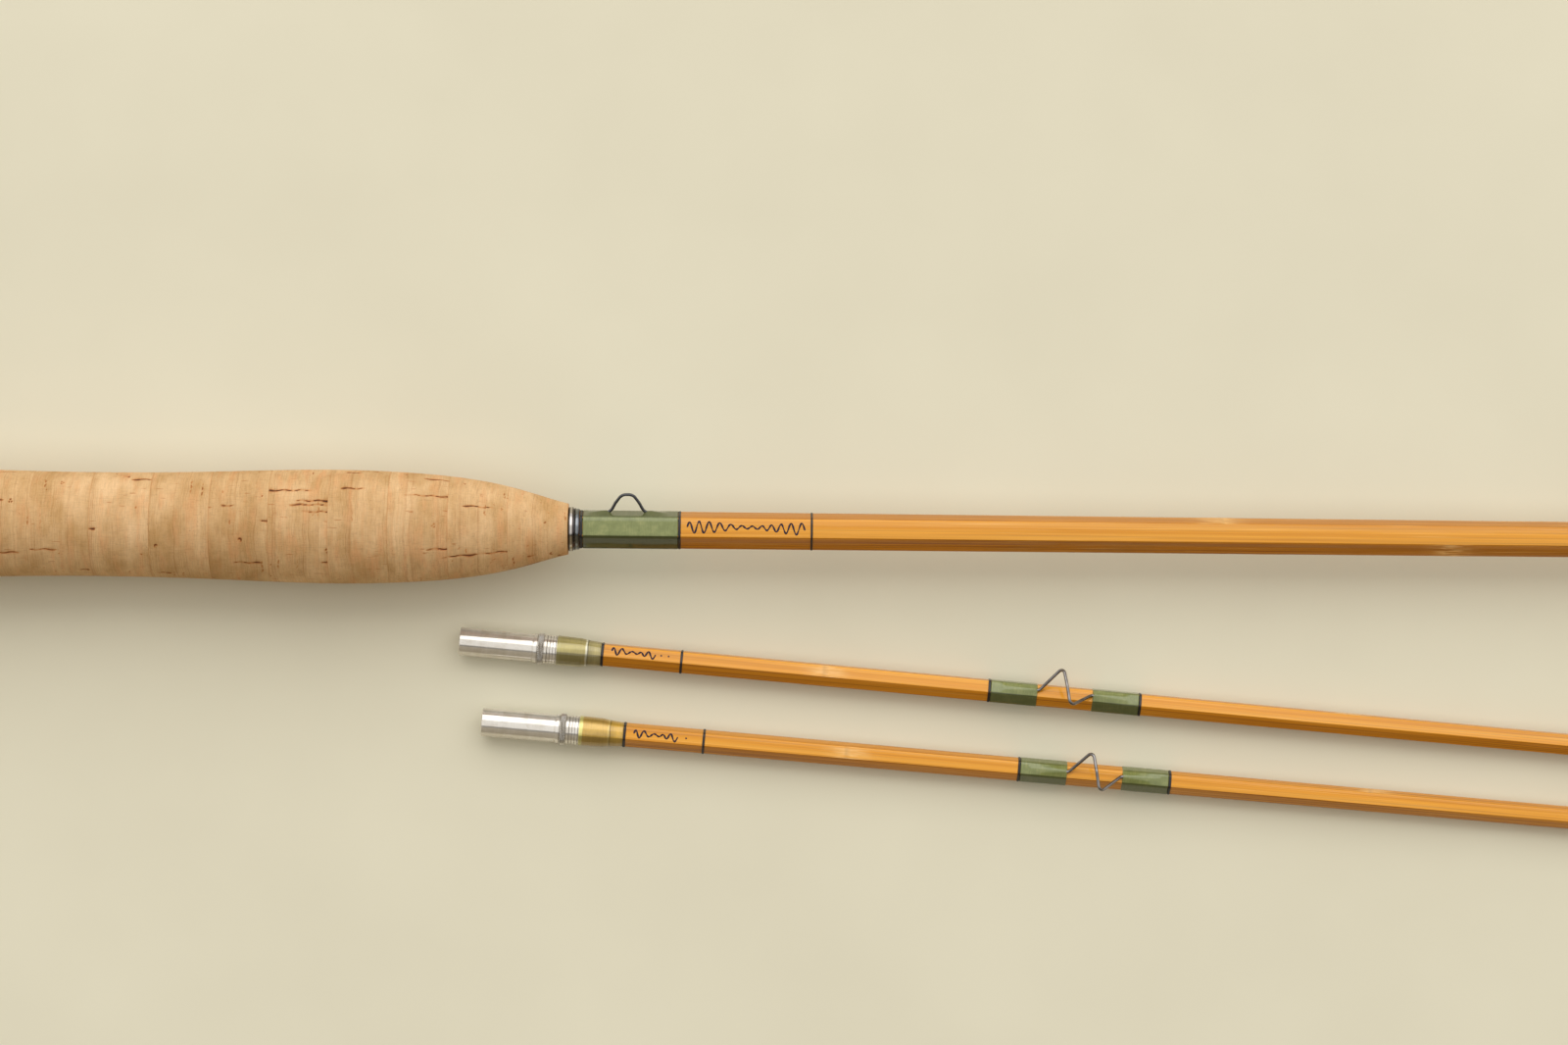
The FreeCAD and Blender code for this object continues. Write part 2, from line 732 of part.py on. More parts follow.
stripper, stripper_cover = stripping_frame()
node("butt", "stripping_guide_frame", stripper)
node("butt", "stripping_guide_ring", agate_ring())
stripper_feet = ("stripper_at", "stripper_gap", "stripper_wrap")
stripper_spans = foot_spans(*stripper_feet)
stripper_silk = silk(
    "stripper_silk",
    butt_silk_form,
    [stripper_cover],
    stripper_spans,
    [butt_form, stripper],
)
node("butt", "stripping_guide_wraps", stripper_silk)

snake, snake_cover = snake_guide("butt_snake", BUTT_CANE, size("butt_snake_at"), 1.0)
node("butt", "butt_snake_guide", snake)
snake_feet = ("butt_snake_at", "snake_gap", "snake_wrap")
node(
    "butt",
    "butt_snake_wraps",
    silk("butt_snake_silk", butt_silk_form, [snake_cover], foot_spans(*snake_feet), [butt_form, snake]),
)

female_start = "section_length - female_length"
butt_bands = [
    ("cork_front + check_length + 0.1", "band_width"),
    (f"{wrap_start} + keeper_wrap_length", "band_width"),
    ("cork_front + signature_at", "0.5"),
    *band_spans(*stripper_feet),
    *band_spans(*snake_feet),
    (f"{female_start} + 6 - female_wrap_length - band_width", "band_width"),
]
butt_band_lengths = common("butt_band_lengths", butt_band_form, slabs("butt_band", butt_bands))
node("butt", "butt_tipping_bands", cut("butt_bands", butt_band_lengths, butt_form))


# ---------------------------------------------------------------- ferrules

female = turned(
    "female_ferrule",
    [
        (female_start, "socket_seat"),
        (female_start, "female_tab"),
        (f"{female_start} + 6", "female_radius - 0.1"),
        (f"{female_start} + 9", "female_radius - 0.1"),
        (f"{female_start} + 9", "female_radius + 0.15"),
        (f"{female_start} + 9.8", "female_radius + 0.15"),
        (f"{female_start} + 9.8", "female_radius"),
        ("section_length - 4.6", "female_radius"),
        ("section_length - 4.2", "welt_radius"),
        ("section_length - 0.3", "welt_radius"),
        ("section_length", "welt_radius - 0.3"),
        ("section_length", "socket_radius"),
        ("section_length - socket_depth", "socket_radius"),
        ("section_length - socket_depth", "socket_seat"),
    ],
)
node("butt", "female_ferrule", female)
node(
    "butt",
    "ferrule_water_plug",
    rod("water_plug", "section_length - socket_depth - 1", "1", "socket_seat"),
)
female_sleeve = turned(
    "female_wrap_sleeve",
    [
        (f"{female_start} + 6 - female_wrap_length", "0"),
        (f"{female_start} + 6 - female_wrap_length", "female_tab + 0.02"),
        (f"{female_start} - 1", "female_tab + 0.22"),
        (f"{female_start} + 1", "female_tab + 0.34"),
        (f"{female_start} + 6", "female_radius + 0.1"),
        (f"{female_start} + 6", "0"),
    ],
)
female_slab = rod(
    "female_wrap_slab",
    f"{female_start} + 6 - female_wrap_length",
    "female_wrap_length - 5",
    BIG,
)
female_wrap_form = fused(
    "female_wrap_form",
    female_sleeve,
    common("female_wrap_cane", butt_silk_form, female_slab),
)
female_wrap_inside = fused(
    "female_wrap_inside",
    butt_form,
    female,
    rod("female_seat", female_start, "female_length - socket_depth", "socket_seat"),
)
node("butt", "female_ferrule_wrap", cut("female_wrap", female_wrap_form, female_wrap_inside))

male = turned(
    "male_ferrule",
    [
        ("0", "slide_bore"),
        ("0", "slide_radius - 0.12"),
        ("0.12", "slide_radius"),
        ("slide_length", "slide_radius"),
        ("slide_length", "slide_radius + 0.16"),
        ("slide_length + 0.95", "slide_radius + 0.16"),
        ("slide_length + 0.95", "knurl_radius"),
        ("slide_length + 2.2", "knurl_radius"),
        ("slide_length + 2.2", "slide_radius + 0.2"),
        ("slide_length + 3.0", "slide_radius + 0.2"),
        ("slide_length + 3.0", "slide_radius + 0.04"),
        ("slide_length + 3.4", "slide_radius + 0.04"),
        ("slide_length + 3.4", "slide_radius + 0.12"),
        ("male_wrap_start", "slide_radius + 0.1"),
        ("male_end - 1", "slide_radius - 0.05"),
        ("male_end", "slide_radius - 0.25"),
        ("male_end", "slide_bore"),
    ],
)
end_cap = rod("ferrule_end_cap", "0.1", "1.1", "slide_bore")
male_sleeve = turned(
    "male_wrap_sleeve",
    [
        ("male_wrap_start", "0"),
        ("male_wrap_start", "slide_radius + 0.24"),
        ("male_end - 1", "slide_radius + 0.1"),
        ("male_end + 0.2", "slide_radius - 0.05"),
        ("male_wrap_end", "slide_radius - 0.12"),
        ("male_wrap_end", "0"),
    ],
)
male_wrap = cut("male_wrap", male_sleeve, fused("male_wrap_inside", tip_form, male))


# ---------------------------------------------------------------- tip


def tip_top():
    """A tube over the end of the cane, with a pear-shaped loop of wire brazed along its top."""
    wire = size("top_wire")
    end = size("section_length")
    tube = Part.makeCylinder(size("top_tube_radius"), end - 1.2 - size("top_tube_start"))
    bore = Part.makeCylinder(size("top_tube_bore"), size("tip_cane_end + 0.4 - top_tube_start"))
    tube = tube.cut(bore)
    tube.Placement = along(size("top_tube_start"))
    low = size("top_tube_radius") + wire * 0.8
    half = [
        Vector(end - 11, 0.4, low),
        Vector(end - 5.2, 0.4, low),
        Vector(end - 2.6, 2.6, low + 1.0),
        Vector(end - 0.9, 2.5, low + 4.6),
        Vector(end - wire, 0.8, low + 5.6),
    ]
    points = half + [Vector(p.x, -p.y, p.z) for p in reversed(half)]
    return shaped("loop_and_tube", tube.fuse(bent_wire(points, wire, 2.0)))


tip_silk_form = hexagonal("tip_silk_form", TIP_CANE, "silk_thickness")
tip_band_form = hexagonal("tip_band_form", TIP_CANE, "band_thickness")


def tip_pieces(tip):
    """The pieces of one tip, by name."""
    guides = []
    covers = []
    spans = [("top_tube_start - top_wrap_length", "top_wrap_length - 0.05")]
    bands = [
        ("male_wrap_end", "band_width - 0.1"),
        ("tip_signature_at", "0.55"),
        ("top_tube_start - top_wrap_length - band_width", "band_width"),
    ]
    for number, (station, scale) in enumerate([FIRST_GUIDE[tip], *FURTHER_GUIDES], start=1):
        guide, cover = snake_guide(f"{tip}_snake_{number}", TIP_CANE, station, scale)
        guides.append(guide)
        covers.append(cover)
        feet = (station, f"(snake_gap * {scale})", f"(snake_wrap * {scale})")
        spans += foot_spans(*feet)
        bands += band_spans(*feet)
    wraps = silk(f"{tip}_silk", tip_silk_form, covers, spans, [tip_form, *guides])
    band_lengths = common(f"{tip}_band_lengths", tip_band_form, slabs(f"{tip}_band", bands))
    return {
        "cane": tip_strips,
        "male_ferrule": [male],
        "ferrule_end_cap": [end_cap],
        "ferrule_wrap": [male_wrap],
        **{f"snake_guide_{i}": [guide] for i, guide in enumerate(guides, start=1)},
        "guide_wraps": [wraps],
        "tipping_bands": [cut(f"{tip}_bands", band_lengths, tip_form)],
        "tip_top": [loop_and_tube],
    }


loop_and_tube = tip_top()
for tip in TIP_LAYOUT:
    for part, objects in tip_pieces(tip).items():
        node(tip, f"{tip}_{part}", *objects)
doc.recompute()


# ---------------------------------------------------------------- laying the sections out


def resting(first, second):
    """Pitch and start height of an axis that rests on two (along the rod, radius) rings."""
    (x1, r1), (x2, r2) = first, second
    pitch = math.asin((r1 - r2) / (x2 - x1))
    return math.degrees(pitch), r1 * math.cos(pitch) + x1 * math.sin(pitch)


def lie(x, y, yaw, pitch, roll, height):
    """The placement of a section: rolled about its axis, pitched down, then turned on the table."""
    turn = (
        Rotation(Vector(0, 0, 1), yaw)
        * Rotation(Vector(0, 1, 0), pitch)
        * Rotation(Vector(1, 0, 0), -roll)
    )
    return Placement(Vector(x, y, height), turn)


def lay_out():
    """Places every node, with the middle of the whole object's underside at the origin."""
    palm = (size("cork_front - 3.6 * cork_thickness"), size("grip_palm_radius"))
    welt = (size("section_length - 2"), size("welt_radius"))
    pitch, height = resting(palm, welt)
    places = {"butt": lie(-size("cork_front"), 0, 0, pitch, size("butt_roll"), height)}
    knurl = (size("slide_length + 1.6"), size("knurl_radius"))
    top = (size("top_tube_start + 3"), size("tip_end_height"))
    pitch, height = resting(knurl, top)
    for tip, (x, y, yaw, roll) in TIP_LAYOUT.items():
        places[tip] = lie(x, y, yaw, pitch, roll, height)
    box = FreeCAD.BoundBox()
    for section, members in nodes.items():
        for member in members:
            shape = member.Shape.copy()
            shape.Placement = places[section]
            box.add(shape.optimalBoundingBox(False))
    shift = Placement(Vector(-box.Center.x, -box.Center.y, -box.ZMin), Rotation())
    for section, members in nodes.items():
        for member in members:
            member.Placement = shift * places[section]
    doc.recompute()
    print("overall size", [round(v, 2) for v in (box.XLength, box.YLength, box.ZLength)])
    return {section: shift * place for section, place in places.items()}


def check_and_write():
    """Stops at any failed feature or bad shape, then writes each node's STEP file."""
    failed = [o.Name for o in doc.Objects if "Invalid" in o.State or "Error" in o.State]
    if failed:
        raise ValueError(f"failed features: {failed}")
    os.makedirs("parts", exist_ok=True)
    for members in nodes.values():
        for member in members:
            shape = member.Shape
            if shape.isNull() or not shape.isValid() or not shape.Solids:
                raise ValueError(f"{member.Label} has no valid solid")
            shape.exportStep(f"parts/{member.Label}.step")
            print(f"{member.Label}: {len(shape.Solids)} solids, {shape.Volume:.2f} mm3")


sections = lay_out()
check_and_write()
for section, place in sections.items():
    axis = place.Rotation.multVec(Vector(1, 0, 0))
    guides = place.Rotation.multVec(Vector(0, 0, 1))
    print("section", section, "start", tuple(place.Base), "axis", tuple(axis), "guides", tuple(guides))
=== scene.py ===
"""A split-cane fly rod taken down and laid out in its sections: butt, tip A and tip B.

Pieces are made in millimetres in their section's own frame, +X along its axis and +Z through its
guides, as in the CAD. Section.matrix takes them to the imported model's frame, in metres.
"""

import json
import math
import random

import bpy
import numpy as np
from mathutils import Matrix, Vector, geometry, noise


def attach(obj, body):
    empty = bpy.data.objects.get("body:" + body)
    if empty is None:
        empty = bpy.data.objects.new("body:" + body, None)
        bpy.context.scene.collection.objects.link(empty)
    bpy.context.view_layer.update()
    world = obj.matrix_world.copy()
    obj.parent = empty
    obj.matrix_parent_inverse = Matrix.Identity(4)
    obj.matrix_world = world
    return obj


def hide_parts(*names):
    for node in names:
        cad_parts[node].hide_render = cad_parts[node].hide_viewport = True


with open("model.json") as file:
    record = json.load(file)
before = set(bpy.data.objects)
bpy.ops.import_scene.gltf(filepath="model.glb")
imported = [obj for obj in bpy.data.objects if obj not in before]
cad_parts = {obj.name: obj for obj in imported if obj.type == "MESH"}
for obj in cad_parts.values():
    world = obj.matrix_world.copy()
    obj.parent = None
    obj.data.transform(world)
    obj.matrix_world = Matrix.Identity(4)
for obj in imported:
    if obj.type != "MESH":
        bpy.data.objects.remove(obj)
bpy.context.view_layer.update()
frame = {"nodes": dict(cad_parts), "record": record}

MM = 0.001
SECTION_LENGTH = 1151.0
SLIDE_MIDDLE = 8.0  # the ferrule mounts of the tips stand here along a tip
CORK_FRONT = 255.1
CORK_THICKNESS = 12.7
CORK_BORE = 4.2
CORK_RINGS = 13
SILK = 0.17  # thickness of silk and its varnish
SILK_THREADS = 5.6  # to a millimetre
BAND = 0.19  # thickness of the black tipping
BAND_WIDTH = 0.6
CORNER = 0.16  # rounding of the cane's corners, as a share of its flats' half width
CULM_NODE_PITCH = 345.0

SLIDE_RADIUS = 3.05
SLIDE_LENGTH = 16.1
FERRULE_SILK_START = 21.2
FERRULE_END = 27.6
FERRULE_SILK_END = 30.8
TIP_TENON_START = 1.3
TIP_TENON_RADIUS = 2.6
TIP_CANE_END = 1148.0
TIP_TOP_SILK_START = 1130.0
TIP_TOP_SILK = 6.95

BUTT_CANE_START = 6.0
CHECK_LENGTH = 2.45
CHECK_BAND = 0.7  # width of the black band against the winding check
KEEPER_MIDDLE = CORK_FRONT + 12.7
KEEPER_WRAP = 20.5
FEMALE_START = SECTION_LENGTH - 46.0
FEMALE_BORE = 17.2
WATER_PLUG = 1.5
BUTT_TENON_RADIUS = 2.8
FEMALE_SILK_START = FEMALE_START - 11
FEMALE_SILK = 17.0

# (along the section, across the flats)
BUTT_CANE = [(BUTT_CANE_START, 7.2), (CORK_FRONT, 7.2), (460.0, 6.85), (FEMALE_START, 5.2)]
TIP_CANE = [(FERRULE_END, 4.66), (240.0, 4.32), (500.0, 3.75), (800.0, 3.0), (1000.0, 2.3)]
TIP_CANE += [(TIP_CANE_END, 1.75)]
# each strip's first bamboo node along the section, and how dark it is, from the guides' flat on; the
# darkness is painted shading for the side of the rod each strip faces, with some real difference between
# strips
BUTT_STRIPS = [(395.0, 0.8), (120.0, 0.3), (300.0, 0.5), (60.0, 0.2), (445.0, 0.95), (185.0, 0.22)]
TIP_STRIPS = [(80.0, 0.15), (194.0, 0.45), (308.0, 0.2), (80.0, 0.6), (194.0, 0.4), (308.0, 0.8)]
# roll of the guides from straight up towards +Y
ROLLS = {"butt": 70.0, "tip_a": 24.0, "tip_b": 11.0}
# (middle of a snake guide along the section, its size against the largest)
FIRST_GUIDE = {"tip_a": (131.8, 1.0), "tip_b": (133.4, 1.0)}
FURTHER_GUIDES = [(357.0, 0.92), (554.0, 0.86), (732.0, 0.8), (884.0, 0.74), (1024.0, 0.7)]
BUTT_GUIDE = (1030.0, 1.0)
GUIDE_GAP = 12.0
GUIDE_WRAP = 10.1
STRIPPER_AT = 762.0
STRIPPER_GAP = 19.0
STRIPPER_WRAP = 13.0

# the single black band ahead of the pen marks: where it starts, and its width
BUTT_PEN_BAND = (CORK_FRONT + 52.1, 0.5)
TIP_PEN_BAND = (48.05, 0.55)

# butt nodes of turned nickel silver, which keep their CAD shape
SEAT_METAL = ["butt_cap", "seat_barrel", "fixed_hood", "slide_hood", "lock_nut"]
SEAT_METAL += ["female_ferrule", "ferrule_water_plug"]

VIEW_WIDTH = 0.3376
CAMERA_HEIGHT = 0.95
CAMERA_SHIFT = (0.0464, 0.0019)  # from the front of the cork
CAMERA_ROLL = 0.605
# angles lean from straight up towards +Y
KEY_LEAN = 44.0
KEY_DISTANCE = 1.6
KEY_SIZE = (3.2, 1.3)
KEY_POWER = 17.0
CANOPY_EDGE = -26.0
CANOPY_LIGHT = (1.0, 0.99, 0.975)
ROOM_LIGHT = (0.28, 0.225, 0.135)
GAP_LIGHT = (0.03, 0.025, 0.02)


def between(places, x):
    """The value at x of a line drawn through (x, value) places."""
    return float(np.interp(x, *zip(*places)))


# -------------------- sections


class Section:
    """One of the rod's three pieces: its body, its frame and its cane."""

    def __init__(self, body, prefix, cane, strips, guides, origin, axis):
        self.body = body
        self.prefix = prefix
        self.cane = cane
        self.strips = strips
        self.guides = guides
        up = (Vector((0, 0, 1)) - axis * axis.z).normalized()
        side = up.cross(axis)
        turn = math.radians(ROLLS[prefix])
        towards_guides = up * math.cos(turn) + side * math.sin(turn)
        across = towards_guides.cross(axis)
        self.matrix = Matrix.Identity(4)
        for column, direction in enumerate((axis, across, towards_guides)):
            self.matrix.col[column] = (*(direction * MM), 0)
        self.matrix.col[3] = (*origin, 1)

    def flats(self, x):
        """The cane's width across its flats."""
        return between(self.cane, x)

    def under(self, y, z):
        """The painted shading of the strip below some points, and how near each is to a glue line."""
        place = np.degrees(np.arctan2(y, z)) / 60
        side = np.round(place).astype(int) % 6
        shade = np.array([strip[1] for strip in self.strips])[side]
        away = (0.5 - np.abs(place - np.round(place))) * math.pi / 3 * np.hypot(y, z)
        return shade, np.exp(-((away / 0.14) ** 2))

    def piece(self, name, points, faces, material, replaces=(), **marks):
        """An object of this section. Each mark is one number for every point."""
        mesh = bpy.data.meshes.new(name)
        mesh.from_pydata(points.tolist(), [], faces)
        local = mesh.attributes.new("local", "FLOAT_VECTOR", "POINT")
        local.data.foreach_set("vector", points.astype(np.float32).ravel())
        for mark, values in marks.items():
            layer = mesh.attributes.new(mark, "FLOAT", "POINT")
            layer.data.foreach_set("value", np.asarray(values, np.float32).ravel())
        mesh.transform(self.matrix)
        mesh.validate()
        mesh.shade_smooth()
        mesh.set_sharp_from_angle(angle=math.radians(38))
        mesh.materials.append(material)
        piece = bpy.data.objects.new(name, mesh)
        bpy.context.scene.collection.objects.link(piece)
        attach(piece, self.body)
        if replaces:
            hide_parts(*replaces)
        return piece


def make_sections():
    """The three sections, placed by the record's ferrule mounts."""
    mounts = {mount["name"]: mount for mount in frame["record"]["mounts"]}
    socket = mounts["ferrule_socket"]
    axis = Vector(socket["axis"]).normalized()
    middle = SECTION_LENGTH - socket["dims"]["length_mm"] / 2
    origin = Vector(socket["pos_m"]) - axis * middle * MM
    butt = Section("butt_section", "butt", BUTT_CANE, BUTT_STRIPS, [BUTT_GUIDE], origin, axis)
    sections = {"butt": butt}
    for tip in ("tip_a", "tip_b"):
        slide = mounts[tip + "_ferrule"]
        axis = -Vector(slide["axis"]).normalized()
        origin = Vector(slide["pos_m"]) - axis * SLIDE_MIDDLE * MM
        guides = [FIRST_GUIDE[tip], *FURTHER_GUIDES]
        sections[tip] = Section(tip, tip, TIP_CANE, TIP_STRIPS, guides, origin, axis)
    return sections


# -------------------- shapes


def tube_faces(rings, around, closed):
    """Quads between rings of points; a closed tube's last ring joins its first, others get caps."""
    faces = []
    for ring in range(rings if closed else rings - 1):
        here = ring * around
        there = (ring + 1) % rings * around
        for i in range(around):
            j = (i + 1) % around
            faces.append((here + i, there + i, there + j, here + j))
    if not closed:
        faces.append(tuple(range(around)))
        faces.append(tuple(reversed(range((rings - 1) * around, rings * around))))
    return faces


def angles(around):
    return np.linspace(0, 2 * math.pi, around, endpoint=False)


def lathe(section, name, profile, material, replaces, around, step=None, relief=None, groove_darkening=None):
    """A turned piece from (along, radius) corners; relief(x, angle) is added to the radius.

    step(x) is the longest distance between rings of points there, and the last argument, a
    function of (x, radius), marks the grooves that are coloured darker.
    """
    corners = [*profile, profile[0]]
    stations = []
    for (x0, r0), (x1, r1) in zip(corners, corners[1:]):
        cuts = 1 if step is None else max(1, round(math.hypot(x1 - x0, r1 - r0) / step((x0 + x1) / 2)))
        stations += [(x0 + (x1 - x0) * i / cuts, r0 + (r1 - r0) * i / cuts) for i in range(cuts)]
    x = np.array([s[0] for s in stations])[:, None]
    r = np.array([s[1] for s in stations])[:, None]
    turn = angles(around)[None, :]
    radius = r + (relief(x, turn) if relief else 0 * turn)
    points = np.stack([x + 0 * radius, radius * np.sin(turn), radius * np.cos(turn)], -1)
    faces = tube_faces(len(stations), around, True)
    marks = {"groove_darkening": groove_darkening(x, radius)} if groove_darkening else {}
    section.piece(name, points.reshape(-1, 3), faces, material, replaces, **marks)


def hexagon(flats, corner):
    """Points round a hexagon with rounded corners and a flat on its +Z side."""
    radius = corner * flats / 2
    inner = (flats / 2 - radius) * 2 / math.sqrt(3)
    points = []
    for side in range(6):
        middle = math.radians(30 + 60 * side)
        for bend in (-30, -10, 10, 30):
            turn = middle + math.radians(bend)
            y = inner * math.sin(middle) + radius * math.sin(turn)
            z = inner * math.cos(middle) + radius * math.cos(turn)
            points.append((y, z))
    return points


def reach(outline, turn):
    """From the axis to the stretched outline round some (y, z) points, at each angle."""
    order = geometry.convex_hull_2d([Vector(p) for p in outline])
    hull = np.array([outline[i] for i in order])
    edge = np.roll(hull, -1, 0) - hull
    outward = np.stack([edge[:, 1], -edge[:, 0]], -1)
    away = (outward * hull).sum(1)
    outward *= np.sign(away)[:, None]
    facing = outward @ np.stack([np.sin(turn), np.cos(turn)])
    with np.errstate(divide="ignore", invalid="ignore"):
        distance = np.where(facing > 1e-9, np.abs(away)[:, None] / facing, np.inf)
    return distance.min(0)


def circle(height, radius, count):
    return [(radius * math.sin(a), height + radius * math.cos(a)) for a in angles(count)]


def wound(section, start, length, thickness, feet=(), around=72, step=0.34, threads=0):
    """Rings of points of one length of wound thread, drawn tight over the cane and any guide feet.

    feet are functions of x that give the (y, z) points of a foot's outline there.
    """
    turn = angles(around)
    count = max(6, round(length / step))
    lead = min(0.12, length / 6)
    end = start + length
    along = [start, start, *np.linspace(start + lead, end - lead, count), end, end]
    cover = [-0.03, 0.02, *[thickness] * count, 0.02, -0.03]
    thread_relief = 0.018
    rings = []
    for x, grown in zip(along, cover):
        outline = hexagon(section.flats(x), 1.6 * CORNER)
        for foot in feet:
            outline = outline + foot(x)
        if threads and grown > 0.1:
            crown = abs(math.sin(math.pi * threads * (x - start) / length))
            grown += thread_relief * (crown - 1)
        radius = reach(outline, turn) + grown
        rings.append(np.stack([0 * turn + x, radius * np.sin(turn), radius * np.cos(turn)], -1))
    return rings


def wound_piece(section, name, lengths, material, replaces):
    """One piece made of several lengths of wound thread, each a closed tube."""
    points = []
    faces = []
    for rings in lengths:
        around = len(rings[0])
        start = len(points)
        points += np.concatenate(rings).tolist()
        faces += [tuple(start + i for i in face) for face in tube_faces(len(rings), around, True)]
    points = np.array(points)
    shade, glue = section.under(points[:, 1], points[:, 2])
    section.piece(name, points, faces, material, replaces, shade=shade, glue=glue)


def ground_foot(section, middle, heel, length, radius):
    """A guide's foot: round at its heel, ground down to a thin toe, with thread sloping off both."""
    toe = 0.16
    heights = [(-1.6, 0.02), (-0.5, 2 * radius), (0, 2 * radius), (length, toe), (length + 0.9, 0.02)]

    def outline(x):
        beyond = abs(x - middle) - heel
        if not heights[0][0] < beyond < heights[-1][0]:
            return []
        lift = section.flats(x) / 2 + 0.03
        top = lift + between(heights, beyond)
        return [(y, min(z, top)) for y, z in circle(lift + radius, radius, 20)]

    return outline


# -------------------- materials


def set_stops(ramp, stops):
    """Gives a colour ramp its (position, colour or grey) stops."""
    elements = ramp.color_ramp.elements
    while len(elements) < len(stops):
        elements.new(0.5)
    for element, (position, colour) in zip(elements, stops):
        element.position = position
        rgb = (colour,) * 3 if isinstance(colour, (int, float)) else colour
        element.color = (*rgb, 1)


def scaled(colour, share):
    return tuple(share * c for c in colour)


class Shader:
    """A material and short calls that add nodes to it."""

    def __init__(self, name, colour, **sockets):
        self.material = bpy.data.materials.new(name)
        self.material.use_nodes = True
        self.nodes = self.material.node_tree.nodes
        self.links = self.material.node_tree.links
        self.surface = self.nodes["Principled BSDF"]
        self.surface.inputs["Base Color"].default_value = (*colour, 1)
        for socket, value in sockets.items():
            self.surface.inputs[socket.replace("_", " ")].default_value = value

    def add(self, kind, inputs=(), **settings):
        """A node, with values or outputs on its sockets by name or number."""
        node = self.nodes.new("ShaderNode" + kind)
        for key, value in settings.items():
            setattr(node, key, value)
        for key, value in dict(inputs).items():
            if isinstance(value, bpy.types.NodeSocket):
                self.links.new(value, node.inputs[key])
            else:
                node.inputs[key].default_value = value
        return node

    def local(self):
        """Millimetres in the section's frame."""
        return self.add("Attribute", attribute_name="local").outputs["Vector"]

    def mark(self, name):
        return self.add("Attribute", attribute_name=name).outputs["Fac"]

    def place(self):
        """Millimetres in the model's frame, for the pieces carried over from the CAD."""
        spot = self.add("TexCoord").outputs["Object"]
        return self.add("VectorMath", {0: spot, "Scale": 1 / MM}, operation="SCALE").outputs[0]

    def along(self, spot):
        return self.add("SeparateXYZ", {0: spot}).outputs["X"]

    def stretch(self, spot, scale, shift=None):
        """Scales a position on each axis, then moves it on every axis by an output."""
        scaled_spot = self.add("VectorMath", {0: spot, 1: scale}, operation="MULTIPLY").outputs[0]
        if shift is None:
            return scaled_spot
        return self.add("VectorMath", {0: scaled_spot, 1: shift}, operation="ADD").outputs[0]

    def noise(self, spot, scale=1.0, detail=3.0, rough=0.5, warp=0.0):
        inputs = {"Vector": spot, "Scale": scale, "Detail": detail, "Roughness": rough}
        inputs["Distortion"] = warp
        return self.add("TexNoise", inputs).outputs["Fac"]

    def grain(self, spot, along, across, shift=None, detail=2, **settings):
        """Noise with its own fineness along and across the rod."""
        moved = self.stretch(spot, (along, across, across), shift)
        return self.noise(moved, detail=detail, **settings)

    def layers(self, place):
        """Uneven layers along one number, about one unit thick."""
        inputs = {"W": place, "Scale": 1.0, "Detail": 4.0, "Roughness": 0.65}
        return self.add("TexNoise", inputs, noise_dimensions="1D").outputs["Fac"]

    def ramp(self, value, *stops):
        """A colour ramp from (position, colour or grey) stops."""
        node = self.add("ValToRGB", {0: value})
        set_stops(node, stops)
        return node.outputs["Color"]

    def math(self, operation, a, b):
        return self.add("Math", {0: a, 1: b}, operation=operation).outputs[0]

    def mix(self, share, a, b, blend="MIX"):
        node = self.add("Mix", data_type="RGBA", blend_type=blend)
        for name, value in (("Factor_Float", share), ("A_Color", a), ("B_Color", b)):
            socket = next(s for s in node.inputs if s.identifier == name)
            if isinstance(value, bpy.types.NodeSocket):
                self.links.new(value, socket)
            else:
                socket.default_value = value if name == "Factor_Float" else (*value, 1)
        return next(s for s in node.outputs if s.identifier == "Result_Color")

    def tint(self, share, body, value, *stops):
        """Multiplies a colour by a ramp of a value."""
        return self.mix(share, body, self.ramp(value, *stops), "MULTIPLY")

    def patches(self, body, value, low, high, share, colour):
        """Mixes a colour in where a value climbs from low to high, up to a share."""
        return self.mix(self.ramp(value, (low, 0.0), (high, share)), body, colour)

    def colour(self, output):
        self.links.new(output, self.surface.inputs["Base Color"])
        return self

    def rough(self, value, low, high):
        """Roughness from low to high as a value goes from 0 to 1."""
        span = self.add("MapRange", {0: value, 3: low, 4: high}).outputs[0]
        self.links.new(span, self.surface.inputs["Roughness"])
        return self

    def bump(self, height, distance_mm, socket="Normal"):
        """Relief in millimetres, on the surface under any coat."""
        inputs = {"Height": height, "Distance": distance_mm * MM, "Strength": 1.0}
        self.links.new(self.add("Bump", inputs).outputs[0], self.surface.inputs[socket])
        return self

    def coat_bump(self, height, distance_mm):
        return self.bump(height, distance_mm, "Coat Normal")


